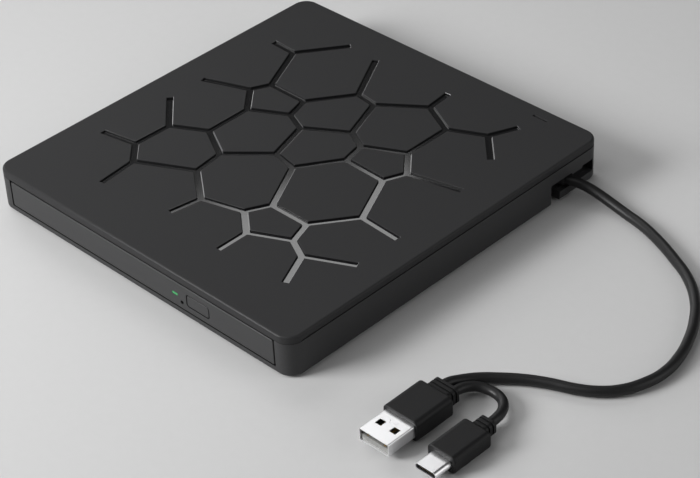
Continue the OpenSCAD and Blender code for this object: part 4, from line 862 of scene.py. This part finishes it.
class DRIVE_OT_pickup(bpy.types.Operator):
    """Finishes of the traverse and its feed, the pickup sled and lens, and the window's film"""

    bl_idname = "drive.pickup"
    bl_label = "Pickup"

    def execute(self, context):
        cover = metal("cover_sheet", COVER_GREY, 0.48, (6.0, 6.0, 1.0))
        dress(cover, "traverse_cover")
        ease(0.08 * MM, "traverse_cover")
        plate = metal("traverse_steel", shade(colour("steel"), 0.75), 0.42, (1.0, 8.0, 1.0))
        dress(plate, "traverse_chassis", "feed_motor")
        cast = metal("sled_casting", CASTING_GREY, 0.5, (2.0, 2.0, 2.0))
        dress(cast, "pickup_sled")
        ease(0.08 * MM, "pickup_sled")
        holder = moulded("lens_holder_plastic", HUB_BLACK, 0.4, 1800.0, 0.01 * MM)
        dress(holder, "lens_holder")
        dress(clear("lens_glass", BLUE_GLASS, 0.05, 300.0, Coat_Weight=1.0), "objective_lens")
        self.film()
        return {"FINISHED"}

    def film(self):
        """A black film that closes the window of the traverse from below."""
        spindle = sum(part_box("turntable"), Vector()) / 2
        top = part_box("traverse_chassis")[0].z - 0.02 * MM
        thick, corner = 0.1 * MM, 3 * MM
        near, far, half_wide = 15 * MM, 60.5 * MM, 9 * MM
        film = cuboid((spindle.x + near, spindle.y - half_wide, top - thick),
                      (spindle.x + far, spindle.y + half_wide, top))
        bpy.ops.object.mode_set(mode="EDIT")
        pick(film, "EDGE", lambda m: abs(m.z - top + thick / 2) < TINY)
        bpy.ops.mesh.bevel(offset=corner, segments=5, affect="EDGES")
        bpy.ops.mesh.select_all(action="SELECT")
        bpy.ops.transform.rotate(value=math.radians(135), orient_axis="Z", center_override=spindle)
        bpy.ops.object.mode_set(mode="OBJECT")
        black = moulded("window_film", HUB_BLACK, 0.5, 1500.0, 0.01 * MM)
        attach(settle(film, "window_film", black, "black_plastic"), "tray")


class DRIVE_OT_boards(bpy.types.Operator):
    """Finishes of the boards, sockets and status LED, and the wires from the cord"""

    bl_idname = "drive.boards"
    bl_label = "Boards and wires"

    def execute(self, context):
        mask = board_mask("board_mask", colour("board"))
        dress(mask, "bridge_board", "control_board", "switch_board", "connector_board")
        white = moulded("socket_plastic", SOCKET_CREAM, 0.4, 1200.0, 0.01 * MM)
        dress(white, "bridge_socket")
        dress(clear("led_body", MILKY, 0.2, 500.0), "status_led")
        self.wires()
        return {"FINISHED"}

    def wires(self):
        """Four insulated wires side by side, each with a little slack."""
        low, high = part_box("lead_wires")
        thick, pitch, steps = 0.6 * MM, 0.7 * MM, 8
        most_sway, most_lift, sway_waves, sway_shift = 0.06 * MM, 0.1 * MM, 2.2, 1.9
        made = []
        for i, (name, tone) in enumerate(WIRES.items()):
            route = []
            for j in range(steps + 1):
                t = j / steps
                arch = math.sin(math.pi * t)
                sway = most_sway * math.sin(sway_waves * math.pi * t + sway_shift * i) * arch
                route.append((low.x + t * (high.x - low.x), low.y + thick / 2 + i * pitch + sway,
                              low.z + thick / 2 + most_lift * arch ** 2))
            wire = cord_curve("wire_" + name, route, thick)
            jacket = moulded("wire_" + name, tone, 0.4, 2500.0, 0.01 * MM)
            wire.data.materials.append(jacket.material)
            only(wire)
            bpy.ops.object.convert(target="MESH")
            made.append(bpy.context.object)
        only(*made)
        bpy.ops.object.join()
        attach(settle(made[0], "cord_wires", None, "copper", "lead_wires"), "base")


PIECES = (DRIVE_OT_stage, DRIVE_OT_plugs, DRIVE_OT_cords, DRIVE_OT_case, DRIVE_OT_front,
          DRIVE_OT_chassis, DRIVE_OT_tray, DRIVE_OT_motor, DRIVE_OT_pickup, DRIVE_OT_boards)


class DRIVE_PT_panel(bpy.types.Panel):
    """The drive's pieces, in the order in which they are made"""

    bl_idname = "DRIVE_PT_panel"
    bl_label = "Slim disc drive"
    bl_space_type = "VIEW_3D"
    bl_region_type = "UI"
    bl_category = "Drive"

    def draw(self, context):
        scene = context.scene
        for piece in PIECES:
            self.layout.operator(piece.bl_idname)
        for group in (scene.drive_sizes, scene.drive_colours, scene.drive_stage):
            box = self.layout.box()
            for key in group.__annotations__:
                box.prop(group, key)


CLASSES = (DriveSizes, DriveColours, StageSettings, *PIECES, DRIVE_PT_panel)


def register():
    """Makes the settings, the operators and the panel known."""
    for made in CLASSES:
        bpy.utils.register_class(made)
    bpy.types.Scene.drive_sizes = PointerProperty(type=DriveSizes)
    bpy.types.Scene.drive_colours = PointerProperty(type=DriveColours)
    bpy.types.Scene.drive_stage = PointerProperty(type=StageSettings)


def unregister():
    """Takes the settings, the operators and the panel away again."""
    del bpy.types.Scene.drive_stage, bpy.types.Scene.drive_colours, bpy.types.Scene.drive_sizes
    for made in reversed(CLASSES):
        bpy.utils.unregister_class(made)


def main():
    """Registers the add-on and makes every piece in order."""
    register()
    bpy.ops.drive.stage()
    bpy.ops.drive.plugs()
    bpy.ops.drive.cords()
    bpy.ops.drive.case()
    bpy.ops.drive.front()
    bpy.ops.drive.chassis()
    bpy.ops.drive.tray()
    bpy.ops.drive.motor()
    bpy.ops.drive.pickup()
    bpy.ops.drive.boards()


if __name__ == "__main__":
    main()
